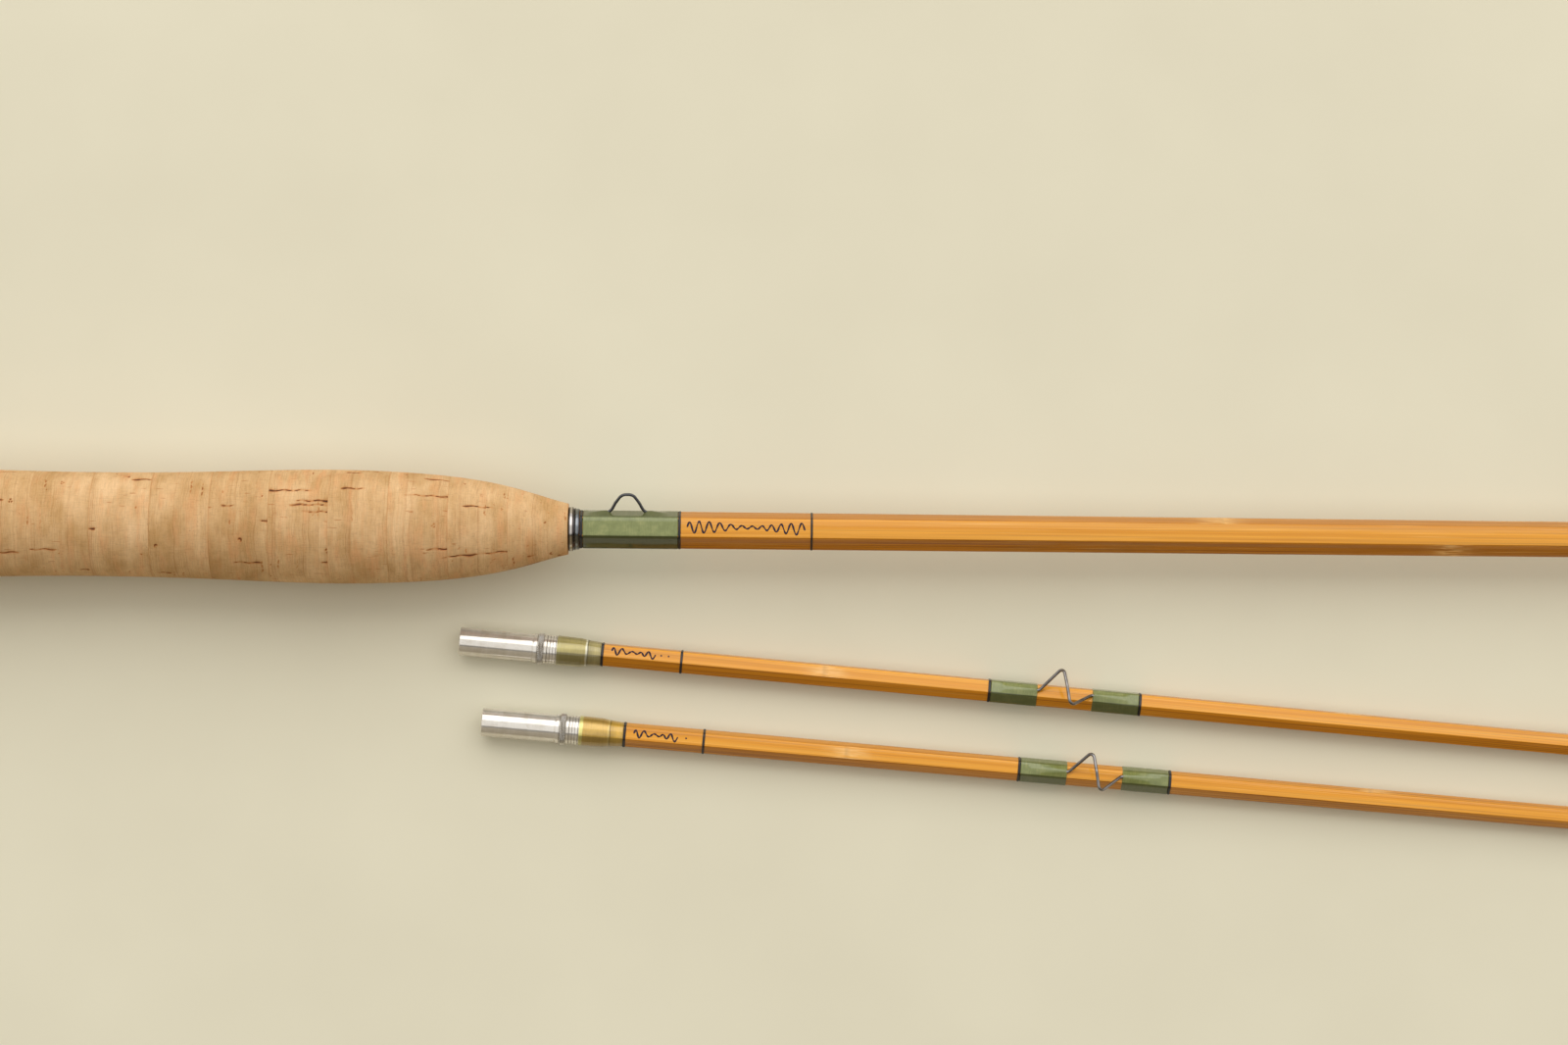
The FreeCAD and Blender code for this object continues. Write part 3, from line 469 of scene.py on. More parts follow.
def cork_material():
    """Natural cork: wavy growth lines across the rod, rows of cells, pores and dark lenticels."""
    shader = Shader("cork", (0.62, 0.38, 0.18), Roughness=0.8, Specular_IOR_Level=0.2)
    spot = shader.local()
    shift = shader.math("MULTIPLY", shader.mark("tone"), 57.0)
    broad = shader.grain(spot, 0.16, 0.10, shift, detail=4, rough=0.6)
    body = shader.ramp(
        broad,
        (0.32, (0.53, 0.315, 0.130)),
        (0.50, (0.64, 0.408, 0.200)),
        (0.68, (0.74, 0.490, 0.262)),
    )
    sway = shader.grain(spot, 0.08, 0.17, shift)
    ripple = shader.grain(spot, 0.30, 0.9, shift)
    layer = shader.math("MULTIPLY", shader.along(spot), 0.34)
    layer = shader.math("ADD", layer, shader.math("MULTIPLY", sway, 0.55))
    layer = shader.math("ADD", layer, shader.math("MULTIPLY", ripple, 0.05))
    growth = shader.layers(shader.math("ADD", layer, shift))
    lines = shader.ramp(
        growth,
        (0.34, 1.0),
        (0.400, (0.70, 0.56, 0.42)),
        (0.420, (0.97, 0.95, 0.92)),
        (0.50, (0.86, 0.80, 0.71)),
        (0.56, 1.0),
        (0.610, (0.80, 0.69, 0.56)),
        (0.628, (1.04, 1.05, 1.06)),
        (0.70, (0.93, 0.90, 0.86)),
    )
    fade = shader.grain(spot, 0.25, 0.13, shift)
    body = shader.mix(shader.ramp(fade, (0.35, 0.3), (0.65, 0.85)), body, lines, "MULTIPLY")
    warm = shader.grain(spot, 0.5, 0.12, shift, detail=3)
    body = shader.patches(body, warm, 0.50, 0.72, 0.65, (0.66, 0.33, 0.14))
    hair = shader.grain(spot, 5.5, 0.5, shift)
    body = shader.tint(0.45, body, hair, (0.32, 0.78), (0.5, 1.0), (0.7, 1.07))
    rows = shader.grain(spot, 0.55, 4.5, shift)
    body = shader.tint(0.4, body, rows, (0.32, 0.82), (0.5, 1.0), (0.7, 1.06))
    pore = shader.noise(spot, scale=3.0, detail=3, rough=0.7)
    body = shader.tint(0.7, body, pore, (0.25, 0.45), (0.37, 0.95), (0.5, 1.0))
    dash = shader.grain(spot, 0.26, 2.1, shift, rough=0.4)
    body = shader.patches(body, dash, 0.69, 0.75, 0.8, (0.42, 0.17, 0.055))
    body = shader.tint(1.0, body, shader.mark("tone"), (0.0, (0.86, 0.83, 0.76)), (1.0, 1.0))
    body = shader.tint(
        1.0,
        body,
        shader.mark("pit"),
        (0.03, 1.0),
        (0.20, (0.80, 0.56, 0.38)),
        (0.45, (0.30, 0.17, 0.13)),
        (0.80, (0.07, 0.05, 0.055)),
    )
    return shader.colour(body).bump(shader.math("ADD", pore, growth), 0.05).material


def cane_material():
    """Bamboo fibres along the rod in amber varnish, each strip cut from another place."""
    shader = Shader(
        "cane",
        (0.68, 0.28, 0.01),
        Roughness=0.45,
        Specular_IOR_Level=0.2,
        Coat_Weight=0.55,
        Coat_Roughness=0.06,
        Coat_IOR=1.5,
    )
    spot = shader.local()
    shade = shader.mark("shade")
    shift = shader.math("MULTIPLY", shader.mark("strip"), 31.7)
    broad = shader.grain(spot, 0.010, 0.7, shift, detail=3)
    body = shader.ramp(
        broad,
        (0.30, (0.66, 0.255, 0.006)),
        (0.50, (0.74, 0.310, 0.014)),
        (0.70, (0.81, 0.375, 0.035)),
    )
    # painted shading: strips marked dark are coloured darker, standing in for the shadowed side of the
    # rod
    body = shader.mix(shade, body, (0.46, 0.160, 0.002))
    fibre = shader.grain(spot, 0.008, 2.6, shift, detail=5, rough=0.65)
    streaks = ((0.30, 0.58), (0.42, 0.88), (0.52, 1.0), (0.62, 1.04), (0.72, 1.22))
    body = shader.tint(0.85, body, fibre, *streaks)
    # the dark fibre lines also grow with the painted shading, so they show most on the strips painted
    # dark
    dark = shader.grain(spot, 0.015, 6.0, shift, rough=0.5)
    share = shader.math("MULTIPLY", shader.ramp(dark, (0.50, 0.0), (0.64, 0.9)), shade)
    body = shader.mix(share, body, (0.24, 0.065, 0.002))
    pale = shader.grain(spot, 0.03, 5.0, shift, rough=0.5)
    body = shader.patches(body, pale, 0.62, 0.76, 0.5, (0.94, 0.54, 0.16))
    node = shader.mark("node")
    smudge = shader.grain(spot, 0.25, 2.2, shift, detail=3)
    share = shader.math("MULTIPLY", node, shader.ramp(smudge, (0.35, 0.0), (0.65, 1.0)))
    body = shader.mix(share, body, (0.84, 0.50, 0.17))
    ring = shader.ramp(node, (0.82, 0.0), (0.97, 0.55))
    body = shader.mix(shader.math("MULTIPLY", ring, smudge), body, (0.26, 0.10, 0.015))
    relief = shader.grain(spot, 0.03, 3.4, shift, detail=3)
    film = shader.grain(spot, 0.12, 0.35)
    return shader.colour(body).bump(relief, 0.02).coat_bump(film, 0.012).material


def silk_shader(name, *stops):
    """Silk under varnish: fine threads round the rod, and cloudy depth where it turned clear."""
    shader = Shader(
        name,
        stops[0][1],
        Roughness=0.4,
        Specular_IOR_Level=0.1,
        Coat_Weight=1.0,
        Coat_Roughness=0.05,
        Coat_IOR=1.55,
    )
    spot = shader.local()
    cloud = shader.noise(spot, scale=0.55, detail=6, rough=0.7)
    strand = shader.grain(spot, SILK_THREADS, 0.4, rough=0.6)
    depth = shader.math("ADD", shader.math("MULTIPLY", cloud, 0.7), shader.math("MULTIPLY", strand, 0.3))
    body = shader.ramp(depth, *stops)
    deep = scaled(stops[0][1], 0.22)
    # painted shading: the silk is coloured darker over the strips painted dark below it
    body = shader.patches(body, shader.mark("shade"), 0.22, 0.95, 0.88, deep)
    body = shader.patches(body, shader.mark("glue"), 0.2, 0.9, 0.45, deep)
    pitch = {"Vector": spot, "Scale": SILK_THREADS * 0.31, "Distortion": 0.4, "Detail": 1.0}
    wave = shader.add("TexWave", pitch, bands_direction="X").outputs["Fac"]
    body = shader.tint(0.3, body, wave, (0.0, 0.70), (0.6, 1.08))
    film = shader.noise(spot, scale=0.35, detail=0)
    return shader.colour(body).bump(wave, 0.02).coat_bump(film, 0.01)


def ferrule_silk_material(name, over_metal, over_cane, gleam, edge):
    """Silk that turned clear, so that the ferrule's tabs and their bright end show through it."""
    shader = silk_shader(name, (0.4, over_cane), (0.6, over_cane))
    spot = shader.local()
    cloud = shader.noise(spot, scale=0.7, detail=4, rough=0.6)
    wander = shader.math("ADD", shader.along(spot), shader.math("MULTIPLY", cloud, 0.3))
    start = FERRULE_SILK_START - 0.2
    place = shader.add("MapRange", {0: wander, 1: start, 2: start + 10.5}).outputs[0]
    # gleam is a painted highlight: the first turns of the silk at its start are coloured bright
    under = shader.ramp(
        place,
        (0.03, gleam),
        (0.10, gleam),
        (0.115, over_metal),
        (0.62, over_metal),
        (0.635, edge),
        (0.655, edge),
        (0.675, scaled(over_cane, 0.3)),
        (0.70, over_cane),
        (0.84, scaled(over_cane, 1.35)),
        (0.95, over_cane),
    )
    strand = shader.grain(spot, SILK_THREADS, 0.25)
    body = shader.tint(0.5, under, strand, (0.3, 0.75), (0.62, 1.1))
    body = shader.tint(0.5, body, cloud, (0.3, 0.75), (0.65, 1.1))
    # painted shading: darker over the strips painted dark below the silk
    body = shader.patches(body, shader.mark("shade"), 0.1, 0.8, 0.6, scaled(over_cane, 0.2))
    metal = shader.ramp(place, (0.60, 0.55), (0.68, 0.2))
    shader.links.new(metal, shader.surface.inputs["Metallic"])
    return shader.colour(body).material


def black_thread_material():
    shader = Shader(
        "black_thread",
        (0.012, 0.012, 0.014),
        Roughness=0.5,
        Specular_IOR_Level=0.2,
        Coat_Weight=0.5,
        Coat_Roughness=0.06,
    )
    strand = shader.grain(shader.local(), 6.0, 0.3)
    body = shader.ramp(strand, (0.3, (0.003, 0.003, 0.004)), (0.7, (0.014, 0.014, 0.018)))
    return shader.colour(body).bump(strand, 0.05).material


def metal_shader(name, light, dark, rough=(0.16, 0.34), local=False, lines=3.0, wear=0.35, shine=1.0):
    """Turned metal: fine lathe lines round the rod, faint blooms of tarnish, and small specks.

    local is for the pieces made here, whose points hold their place in the section. shine is the
    share of bare metal, the rest being dulled by handling.
    """
    shader = Shader(name, light, Metallic=shine, Roughness=rough[0])
    spot = shader.local() if local else shader.place()
    lathe_lines = shader.grain(spot, lines, 0.05, detail=3, rough=0.65)
    bloom = shader.noise(spot, scale=0.35, detail=4, rough=0.6, warp=0.6)
    speck = shader.noise(spot, scale=1.9, detail=3, rough=0.7)
    body = shader.patches(light, bloom, 0.45, 0.75, wear, dark)
    body = shader.patches(body, speck, 0.66, 0.74, 0.6 * wear, dark)
    body = shader.tint(0.35, body, lathe_lines, (0.3, 0.8), (0.7, 1.0))
    # the grooves and knurl valleys marked by the lathe are coloured darker
    body = shader.patches(body, shader.mark("groove_darkening"), 0.25, 0.9, 0.9, scaled(dark, 0.25))
    return shader.colour(body).rough(bloom, *rough).bump(lathe_lines, 0.006)


def turned_nickel_material(light, dark):
    """Nickel silver turned on a lathe, which spreads its gleam along the rod and not round it."""
    shader = metal_shader("nickel_silver", light, dark, (0.17, 0.24), local=True, wear=0.5, shine=0.65)
    shader.surface.inputs["Anisotropic"].default_value = 0.8
    shader.surface.inputs["Anisotropic Rotation"].default_value = 0.25
    round_rod = shader.add("Tangent", direction_type="RADIAL", axis="X")
    shader.links.new(round_rod.outputs[0], shader.surface.inputs["Tangent"])
    return shader.material


def check_material_with_painted_light():
    """The winding check: painted highlights and painted dark reflections in bands along its stepped
    rings.
    """
    shader = Shader("winding_check", (0.6, 0.58, 0.54), Metallic=1.0, Roughness=0.22)
    spot = shader.local()
    along = shader.math("SUBTRACT", shader.along(spot), CORK_FRONT)
    place = shader.add("MapRange", {0: along, 1: 0.0, 2: 3.0}).outputs[0]
    body = shader.ramp(
        place,
        (0.08, 0.02),
        (0.15, (0.30, 0.27, 0.25)),
        (0.22, (0.62, 0.58, 0.53)),
        (0.29, (0.50, 0.44, 0.40)),
        (0.34, (0.04, 0.035, 0.035)),
        (0.43, (0.22, 0.19, 0.18)),
        (0.50, 0.03),
        (0.60, (0.26, 0.27, 0.28)),
        (0.72, (0.16, 0.17, 0.18)),
        (0.80, (0.04, 0.04, 0.05)),
    )
    bloom = shader.noise(spot, scale=0.9, detail=3)
    return shader.colour(body).rough(bloom, 0.12, 0.34).material


def walnut_material():
    shader = Shader("walnut", (0.2, 0.1, 0.05), Roughness=0.45, Coat_Weight=0.6, Coat_Roughness=0.15)
    spot = shader.place()
    grain = shader.grain(spot, 0.045, 0.55, detail=5, rough=0.62, warp=0.8)
    body = shader.ramp(
        grain,
        (0.28, (0.045, 0.018, 0.009)),
        (0.46, (0.15, 0.062, 0.028)),
        (0.58, (0.26, 0.12, 0.055)),
        (0.75, (0.36, 0.19, 0.09)),
    )
    pore = shader.grain(spot, 0.35, 5.0)
    body = shader.patches(body, pore, 0.62, 0.70, 0.7, (0.03, 0.012, 0.007))
    return shader.colour(body).bump(pore, 0.02).material


def agate_material():
    shader = Shader(
        "agate",
        (0.5, 0.2, 0.08),
        Roughness=0.12,
        Coat_Weight=1.0,
        Coat_Roughness=0.03,
        Subsurface_Weight=0.3,
        Subsurface_Scale=0.002,
    )
    spot = shader.place()
    warp = shader.noise(spot, scale=0.12, detail=1)
    bent = shader.stretch(spot, (0.4, 0.7, 0.7), warp)
    band = shader.noise(bent, scale=0.9, detail=2, rough=0.45, warp=0.8)
    body = shader.ramp(
        band,
        (0.30, (0.13, 0.025, 0.008)),
        (0.44, (0.36, 0.085, 0.022)),
        (0.52, (0.52, 0.20, 0.07)),
        (0.60, (0.33, 0.07, 0.02)),
        (0.72, (0.56, 0.30, 0.14)),
    )
    return shader.colour(body).material


def ink_material():
    shader = Shader("ink", (0.016, 0.014, 0.022), Roughness=0.6, Specular_IOR_Level=0.1)
    flow = shader.noise(shader.local(), scale=1.8, detail=2)
    body = shader.ramp(flow, (0.3, (0.010, 0.009, 0.018)), (0.7, (0.045, 0.030, 0.045)))
    return shader.colour(body).material


def floor_material():
    shader = Shader("floor", (0.70, 0.65, 0.50), Roughness=0.9, Specular_IOR_Level=0.1)
    grain = shader.noise(shader.place(), scale=0.02, detail=3)
    body = shader.ramp(grain, (0.3, (0.68, 0.635, 0.485)), (0.7, (0.71, 0.665, 0.51)))
    return shader.colour(body).material


def make_materials():
    nickel = ((0.78, 0.74, 0.67), (0.47, 0.39, 0.28))
    steel = ((0.27, 0.255, 0.25), (0.06, 0.05, 0.045))
    green = ((0.34, (0.150, 0.170, 0.045)), (0.50, (0.190, 0.215, 0.065)), (0.66, (0.27, 0.280, 0.095)))
    black_wire = ((0.10, 0.10, 0.105), (0.03, 0.03, 0.03))
    return {
        "cork": cork_material(),
        "cane": cane_material(),
        "green": silk_shader("green_silk", *green).material,
        "tip_a_silk": ferrule_silk_material(
            "olive_silk",
            over_metal=(0.46, 0.385, 0.14),
            over_cane=(0.36, 0.30, 0.12),
            gleam=(0.50, 0.44, 0.18),
            edge=(0.80, 0.76, 0.55),
        ),
        "tip_b_silk": ferrule_silk_material(
            "gold_silk",
            over_metal=(0.64, 0.41, 0.095),
            over_cane=(0.56, 0.34, 0.055),
            gleam=(0.92, 0.84, 0.28),
            edge=(0.74, 0.52, 0.15),
        ),
        "black": black_thread_material(),
        "nickel": turned_nickel_material(*nickel),
        "seat_metal": metal_shader("seat_nickel_silver", *nickel, lines=2.0).material,
        "steel": metal_shader("guide_steel", *steel, (0.12, 0.24), wear=0.9).material,
        "black_wire": metal_shader("black_wire", *black_wire, (0.3, 0.45)).material,
        "check": check_material_with_painted_light(),
        "walnut": walnut_material(),
        "agate": agate_material(),
        "ink": ink_material(),
        "floor": floor_material(),
    }


def dress(node, material):
    """Gives a piece carried over from the CAD its material and smooth shading."""
    mesh = frame["nodes"][node].data
    mesh.materials.clear()
    mesh.materials.append(material)
    mesh.shade_smooth()
    mesh.set_sharp_from_angle(angle=math.radians(30))


# -------------------- cane


def strip_outline(flats, side):
    """(y, z) points of one strip's outer face, from glue line to glue line, then the axis."""
    radius = CORNER * flats / 2
    half = (flats / 2 - radius) / math.sqrt(3)
    edge = []
    for turn in (math.pi / 6, math.pi / 12, 0):
        edge.append((half + radius * math.sin(turn), flats / 2 - radius + radius * math.cos(turn)))
    crown = 0.006 * flats
    face = [(u * half, flats / 2 + crown * (1 - u * u)) for u in (0.6, 0.2, -0.2, -0.6)]
    shape = edge + face + [(-u, v) for u, v in reversed(edge)] + [(0, 0.02)]
    turn = math.radians(60 * side)
    sine, cosine = math.sin(turn), math.cos(turn)
    return [(u * cosine + v * sine, v * cosine - u * sine) for u, v in shape]


def turned_down(outline, radius):
    """The outline with nothing further from the axis than radius."""
    shares = [min(1.0, radius / math.hypot(y, z)) for y, z in outline]
    return [(y * share, z * share) for (y, z), share in zip(outline, shares)]


def cane(section, material, start, end, tenon):
    """Six glued strips, turned down to a tenon's radius from tenon (start, end, radius)."""
    rng = random.Random(section.prefix)
    points = []
    faces = []
    marks = {"strip": [], "node": [], "shade": []}
    tenon_start, tenon_end, tenon_radius = tenon
    shoulder = tenon_end if tenon_start == start else tenon_start
    stations = sorted([*np.arange(start, end, 3.0), shoulder - 0.01, shoulder + 0.01, end])
    # each strip's darkness is painted shading for the side of the rod it faces, carried to all its
    # points
    for side, (first_node, shade) in enumerate(section.strips):
        cut = rng.random()
        culm_nodes = [first_node + CULM_NODE_PITCH * i for i in range(4)]
        first = len(points)
        for x in stations:
            near = max(math.exp(-(((x - at) / 3.2) ** 2)) for at in culm_nodes)
            outline = strip_outline(section.flats(x) * (1 + 0.012 * near), side)
            if tenon_start <= x <= tenon_end:
                outline = turned_down(outline, tenon_radius)
            points += [(x, y, z) for y, z in outline]
            around = len(outline)
            marks["strip"] += [cut] * around
            marks["node"] += [near] * around
            marks["shade"] += [shade] * around
        faces += [tuple(first + i for i in face) for face in tube_faces(len(stations), around, False)]
    name = section.prefix + "_split_cane"
    section.piece(name, np.array(points), faces, material, [section.prefix + "_cane"], **marks)


# -------------------- cork grip


def grip_profile(section):
    """The grip's radius along the rod, smoothed through the CAD rings' own points."""
    back = section.matrix.inverted()
    known = []
    for ring in range(1, CORK_RINGS + 1):
        for vertex in frame["nodes"][f"cork_ring_{ring:02d}"].data.vertices:
            spot = back @ vertex.co
            radius = math.hypot(spot.y, spot.z)
            if radius > CORK_BORE + 0.5:
                known.append((spot.x, radius))
    known = np.array(known)
    half = CORK_THICKNESS * CORK_RINGS / 2
    middle = CORK_FRONT - half
    fit = np.polynomial.Polynomial.fit((known[:, 0] - middle) / half, known[:, 1], deg=11)
    return lambda x: fit((x - middle) / half)


def fissure(rng, along, across):
    """A dark channel along the rod: thick at one end, broken towards the other, in a warm stain."""
    half = rng.choice((0.9, 1.6, 2.6, 3.6, 5.0)) * rng.uniform(0.8, 1.2)
    share = along / half * rng.choice((-1, 1))
    width = rng.uniform(0.09, 0.16) * (0.75 + 1.1 * np.exp(-(((share - 0.7) / 0.25) ** 2)))
    bent = across + 0.12 * np.sin(1.7 * along + rng.uniform(0, 6))
    broken = 0.95 + 0.7 * np.sin(rng.uniform(2, 4) * along + rng.uniform(0, 6)) + 0.9 * share
    ends = np.clip(1 - share**2, 0, 1) ** 0.4
    channel = np.clip(broken, 0.15, 1) * np.exp(-((bent / width) ** 2)) * rng.uniform(0.6, 1.0)
    stain = 0.16 * np.exp(-((bent / (3.2 * width)) ** 2))
    return ends * np.maximum(channel, stain)


def crack(rng, along, across):
    """A thin wandering crack across the rod."""
    share = across / rng.uniform(0.6, 2.2)
    bent = along + 0.1 * np.sin(2.3 * across + rng.uniform(0, 6)) + 0.05 * np.sin(7 * across)
    broken = np.clip(0.8 + 0.6 * np.sin(4.2 * across + rng.uniform(0, 6)), 0.1, 1)
    ends = np.clip(1 - share**2, 0, 1) ** 0.5
    return ends * broken * np.exp(-((bent / 0.13) ** 2)) * rng.uniform(0.2, 0.5)


def pore(rng, along, across):
    """A dark dot, or a broken ring of them."""
    away = np.hypot(along, 0.8 * across)
    turn = np.arctan2(across, along)
    broken = np.clip(0.5 + 0.5 * np.sin(rng.choice((1, 2, 3)) * turn + rng.uniform(0, 6)), 0, 1)
    size = rng.choice((0.0, 0.0, 0.05, 0.1, 0.3))
    return np.exp(-(((away - size) / 0.14) ** 2)) * broken * rng.uniform(0.2, 0.8)


def cork_ring(section, material, radius_at, number):
    """One ring of the grip, its pits and channels cut into it, and glue lines at its faces."""
    pit_depth = 0.2
    glue_depth = 0.05
    usual_radius = 11
    rng = random.Random(100 + number)
    end = CORK_FRONT - CORK_THICKNESS * (number - 1)
    start = end - CORK_THICKNESS
    x = np.linspace(start, end, 58)
    turn = angles(384)
    radius = radius_at(x)[:, None] + 0 * turn[None, :]
    dark = np.zeros_like(radius)
    flaws = [fissure] * rng.randint(4, 8) + [crack] * rng.randint(3, 7) + [pore] * rng.randint(8, 16)
    for flaw in flaws:
        along = (x - rng.uniform(start, end))[:, None]
        across = np.angle(np.exp(1j * (turn - rng.uniform(0, 2 * math.pi))))[None, :] * radius
        dark = np.maximum(dark, flaw(rng, along, across))
    radius -= pit_depth * dark
    seam = np.minimum(x - start, end - x)[:, None]
    groove = np.exp(-((seam / 0.1) ** 2))
    radius -= glue_depth * groove
    dark = np.maximum(dark, 0.1 * groove)
    points = np.stack([x[:, None] + 0 * radius, radius * np.sin(turn), radius * np.cos(turn)], -1)
    points = points.reshape(-1, 3)
    for point in points:
        swell = 0.022 * noise.noise(Vector(point) * 1.1) + 0.014 * noise.noise(Vector(point) * 3.1)
        point[1:] *= 1 + swell / usual_radius
    bore = [[at, CORK_BORE * math.sin(a), CORK_BORE * math.cos(a)] for at in (end, start) for a in turn]
    points = np.concatenate([points, np.array(bore)])
    marks = {
        "pit": np.concatenate([dark.ravel(), np.zeros(len(bore))]),
        "tone": np.full(len(points), rng.uniform(0.0, 1.0)),
    }
    faces = tube_faces(len(x) + 2, len(turn), True)
    node = f"cork_ring_{number:02d}"
    section.piece(f"grip_cork_{number:02d}", points, faces, material, [node], **marks)


# -------------------- thread


def guide_wraps(section, guide):
    """Both silk wraps of a snake guide, as lengths of wound thread."""
    middle, scale = guide
    gap = scale * GUIDE_GAP / 2
    length = scale * GUIDE_WRAP
    foot = ground_foot(section, middle, gap + 1, scale * 6.3, 0.34)
    starts = (middle - gap - length, middle + gap)
    return [wound(section, start, length, SILK, [foot]) for start in starts]


def guide_bands(section, guide, gap=GUIDE_GAP, wrap=GUIDE_WRAP):
    """The two black bands outside a guide's wraps."""
    middle, scale = guide
    outside = scale * (gap / 2 + wrap)
    starts = (middle - outside - BAND_WIDTH, middle + outside)
    return [band(section, start) for start in starts]


def band(section, start, width=BAND_WIDTH):
    """A few turns of black thread side by side."""
    return wound(section, start, width, BAND, step=0.04, threads=max(2, round(width / 0.17)))


def cone(points):
    """The round outline of a taper through (along, radius) points."""
    return lambda x: circle(0, between(points, x), 48)


def butt_thread(butt, materials):
    silk = materials["green"]
    check_end = CORK_FRONT + CHECK_LENGTH
    keeper_start = check_end + CHECK_BAND
    keeper_foot = ground_foot(butt, KEEPER_MIDDLE, 4.9, 2.9, 0.3)
    keeper = wound(butt, keeper_start, KEEPER_WRAP, SILK, [keeper_foot], around=120)
    wound_piece(butt, "keeper_silk", [keeper], silk, ["keeper_wrap"])
    stripper_foot = ground_foot(butt, STRIPPER_AT, 10.5, 9.5, 0.8)
    outside = STRIPPER_GAP / 2 + STRIPPER_WRAP
    starts = (STRIPPER_AT - outside, STRIPPER_AT + STRIPPER_GAP / 2)
    stripper = [wound(butt, start, STRIPPER_WRAP, SILK, [stripper_foot]) for start in starts]
    wound_piece(butt, "stripping_guide_silk", stripper, silk, ["stripping_guide_wraps"])
    snake = guide_wraps(butt, BUTT_GUIDE)
    wound_piece(butt, "butt_snake_silk", snake, silk, ["butt_snake_wraps"])
    sleeve = cone([(FEMALE_SILK_START, 2.7), (FEMALE_START, 3.24), (FEMALE_START + 6, 3.5)])
    end_wrap = wound(butt, FEMALE_SILK_START, FEMALE_SILK, SILK, [sleeve])
    wound_piece(butt, "female_ferrule_silk", [end_wrap], silk, ["female_ferrule_wrap"])
    bands = [
        band(butt, check_end, CHECK_BAND),
        band(butt, keeper_start + KEEPER_WRAP),
        band(butt, *BUTT_PEN_BAND),
        *guide_bands(butt, (STRIPPER_AT, 1.0), STRIPPER_GAP, STRIPPER_WRAP),
        *guide_bands(butt, BUTT_GUIDE),
        band(butt, FEMALE_SILK_START - BAND_WIDTH),
    ]
    wound_piece(butt, "butt_black_thread", bands, materials["black"], ["butt_tipping_bands"])


def tip_thread(tip, materials):
    name = tip.prefix
    wraps = [length for guide in tip.guides for length in guide_wraps(tip, guide)]
    wraps.append(wound(tip, TIP_TOP_SILK_START, TIP_TOP_SILK, SILK))
    wound_piece(tip, name + "_silk", wraps, materials["green"], [name + "_guide_wraps"])
    taper = [(FERRULE_SILK_START, 3.15), (26.5, 3.02), (27.5, 2.82), (FERRULE_SILK_END, 2.5)]
    silk_length = FERRULE_SILK_END - FERRULE_SILK_START
    ferrule = wound(tip, FERRULE_SILK_START, silk_length, 0.1, [cone(taper)], around=96)
    silk = materials[name + "_silk"]
    wound_piece(tip, name + "_ferrule_silk", [ferrule], silk, [name + "_ferrule_wrap"])
    bands = [band(tip, FERRULE_SILK_END), band(tip, *TIP_PEN_BAND), band(tip, TIP_TOP_SILK_START - 0.7)]
    bands += [length for guide in tip.guides for length in guide_bands(tip, guide)]
    wound_piece(tip, name + "_black_thread", bands, materials["black"], [name + "_tipping_bands"])


# -------------------- turned metal


def knurl(start, end, count, depth, slant):
    """A relief of ridges that climb by slant (radians per millimetre) between two places."""

    def relief(x, turn):
        ridge = 0.5 + 0.5 * np.cos(count * (turn - slant * (x - start)))
        inside = (x > start) & (x < end)
        return np.where(inside, depth * (ridge - 1), 0)

    return relief


def male_ferrule(tip, material):
    """The slide, its shoulder, a slanting knurl and the turned rings that run up to the silk."""
    slide = SLIDE_RADIUS
    bore = TIP_TENON_RADIUS + 0.02
    ring = SLIDE_LENGTH
    knurl_start = ring + 1.0
    knurl_end = ring + 2.15
    knurl_crest = slide + 0.33
    profile = [(0.0, bore), (0.0, slide - 0.14), (0.14, slide), (ring - 0.3, slide)]
    profile += [(ring - 0.22, slide - 0.08), (ring - 0.08, slide - 0.08), (ring, slide + 0.12)]
    profile += [(ring + 0.08, slide + 0.16), (ring + 0.72, slide + 0.16)]
    profile += [(ring + 0.8, slide + 0.02), (ring + 0.94, slide + 0.02)]
    profile += [(knurl_start, knurl_crest), (knurl_end, knurl_crest)]
    profile += [(knurl_end + 0.06, slide + 0.02), (knurl_end + 0.16, slide + 0.02)]
    for start in (2.36, 3.06, 3.68, 4.3):
        crest = slide + (0.18 if start < 3 else 0.1)
        left = ring + start
        profile += [(left, crest), (left + 0.5, crest), (left + 0.55, slide), (left + 0.63, slide)]
    profile += [(ring + 5.0, slide + 0.08), (26.6, slide - 0.05), (FERRULE_END, slide - 0.25)]
    profile += [(FERRULE_END, bore)]
    relief = knurl(knurl_start, knurl_end, 44, 0.17, 0.36)

    def step(x):
        return 0.06 if knurl_start < x < knurl_end else 2.0

    # the knurl's valleys and the grooves beyond the first ring are marked to be coloured darker
    def groove_darkening(x, radius):
        inside = (x > knurl_start) & (x < knurl_end)
        crest = np.where(inside, knurl_crest, slide + 0.1)
        return np.clip((crest - radius) / 0.14, 0, 1) * (x > ring + 0.75)

    name = tip.prefix + "_turned_ferrule"
    lathe(tip, name, profile, material, [tip.prefix + "_male_ferrule"], 264, step, relief, groove_darkening)


def winding_check(butt, material):
    """Two stepped rings against the front of the cork."""
    profile = [(0.08, CORK_BORE), (0.08, 4.52), (0.2, 4.72), (0.36, 4.77), (0.95, 4.77), (1.1, 4.7)]
    profile += [(1.16, 4.5), (1.26, 4.45), (1.36, 4.5), (1.46, 4.6), (1.58, 4.54), (1.68, 4.38)]
    profile += [(1.78, 4.42), (2.2, 4.42), (2.38, 4.34), (CHECK_LENGTH, 4.28), (CHECK_LENGTH, CORK_BORE)]
    profile = [(CORK_FRONT + x, r) for x, r in profile]
    lathe(butt, "stepped_check", profile, material, ["winding_check"], 128)


# -------------------- pen work


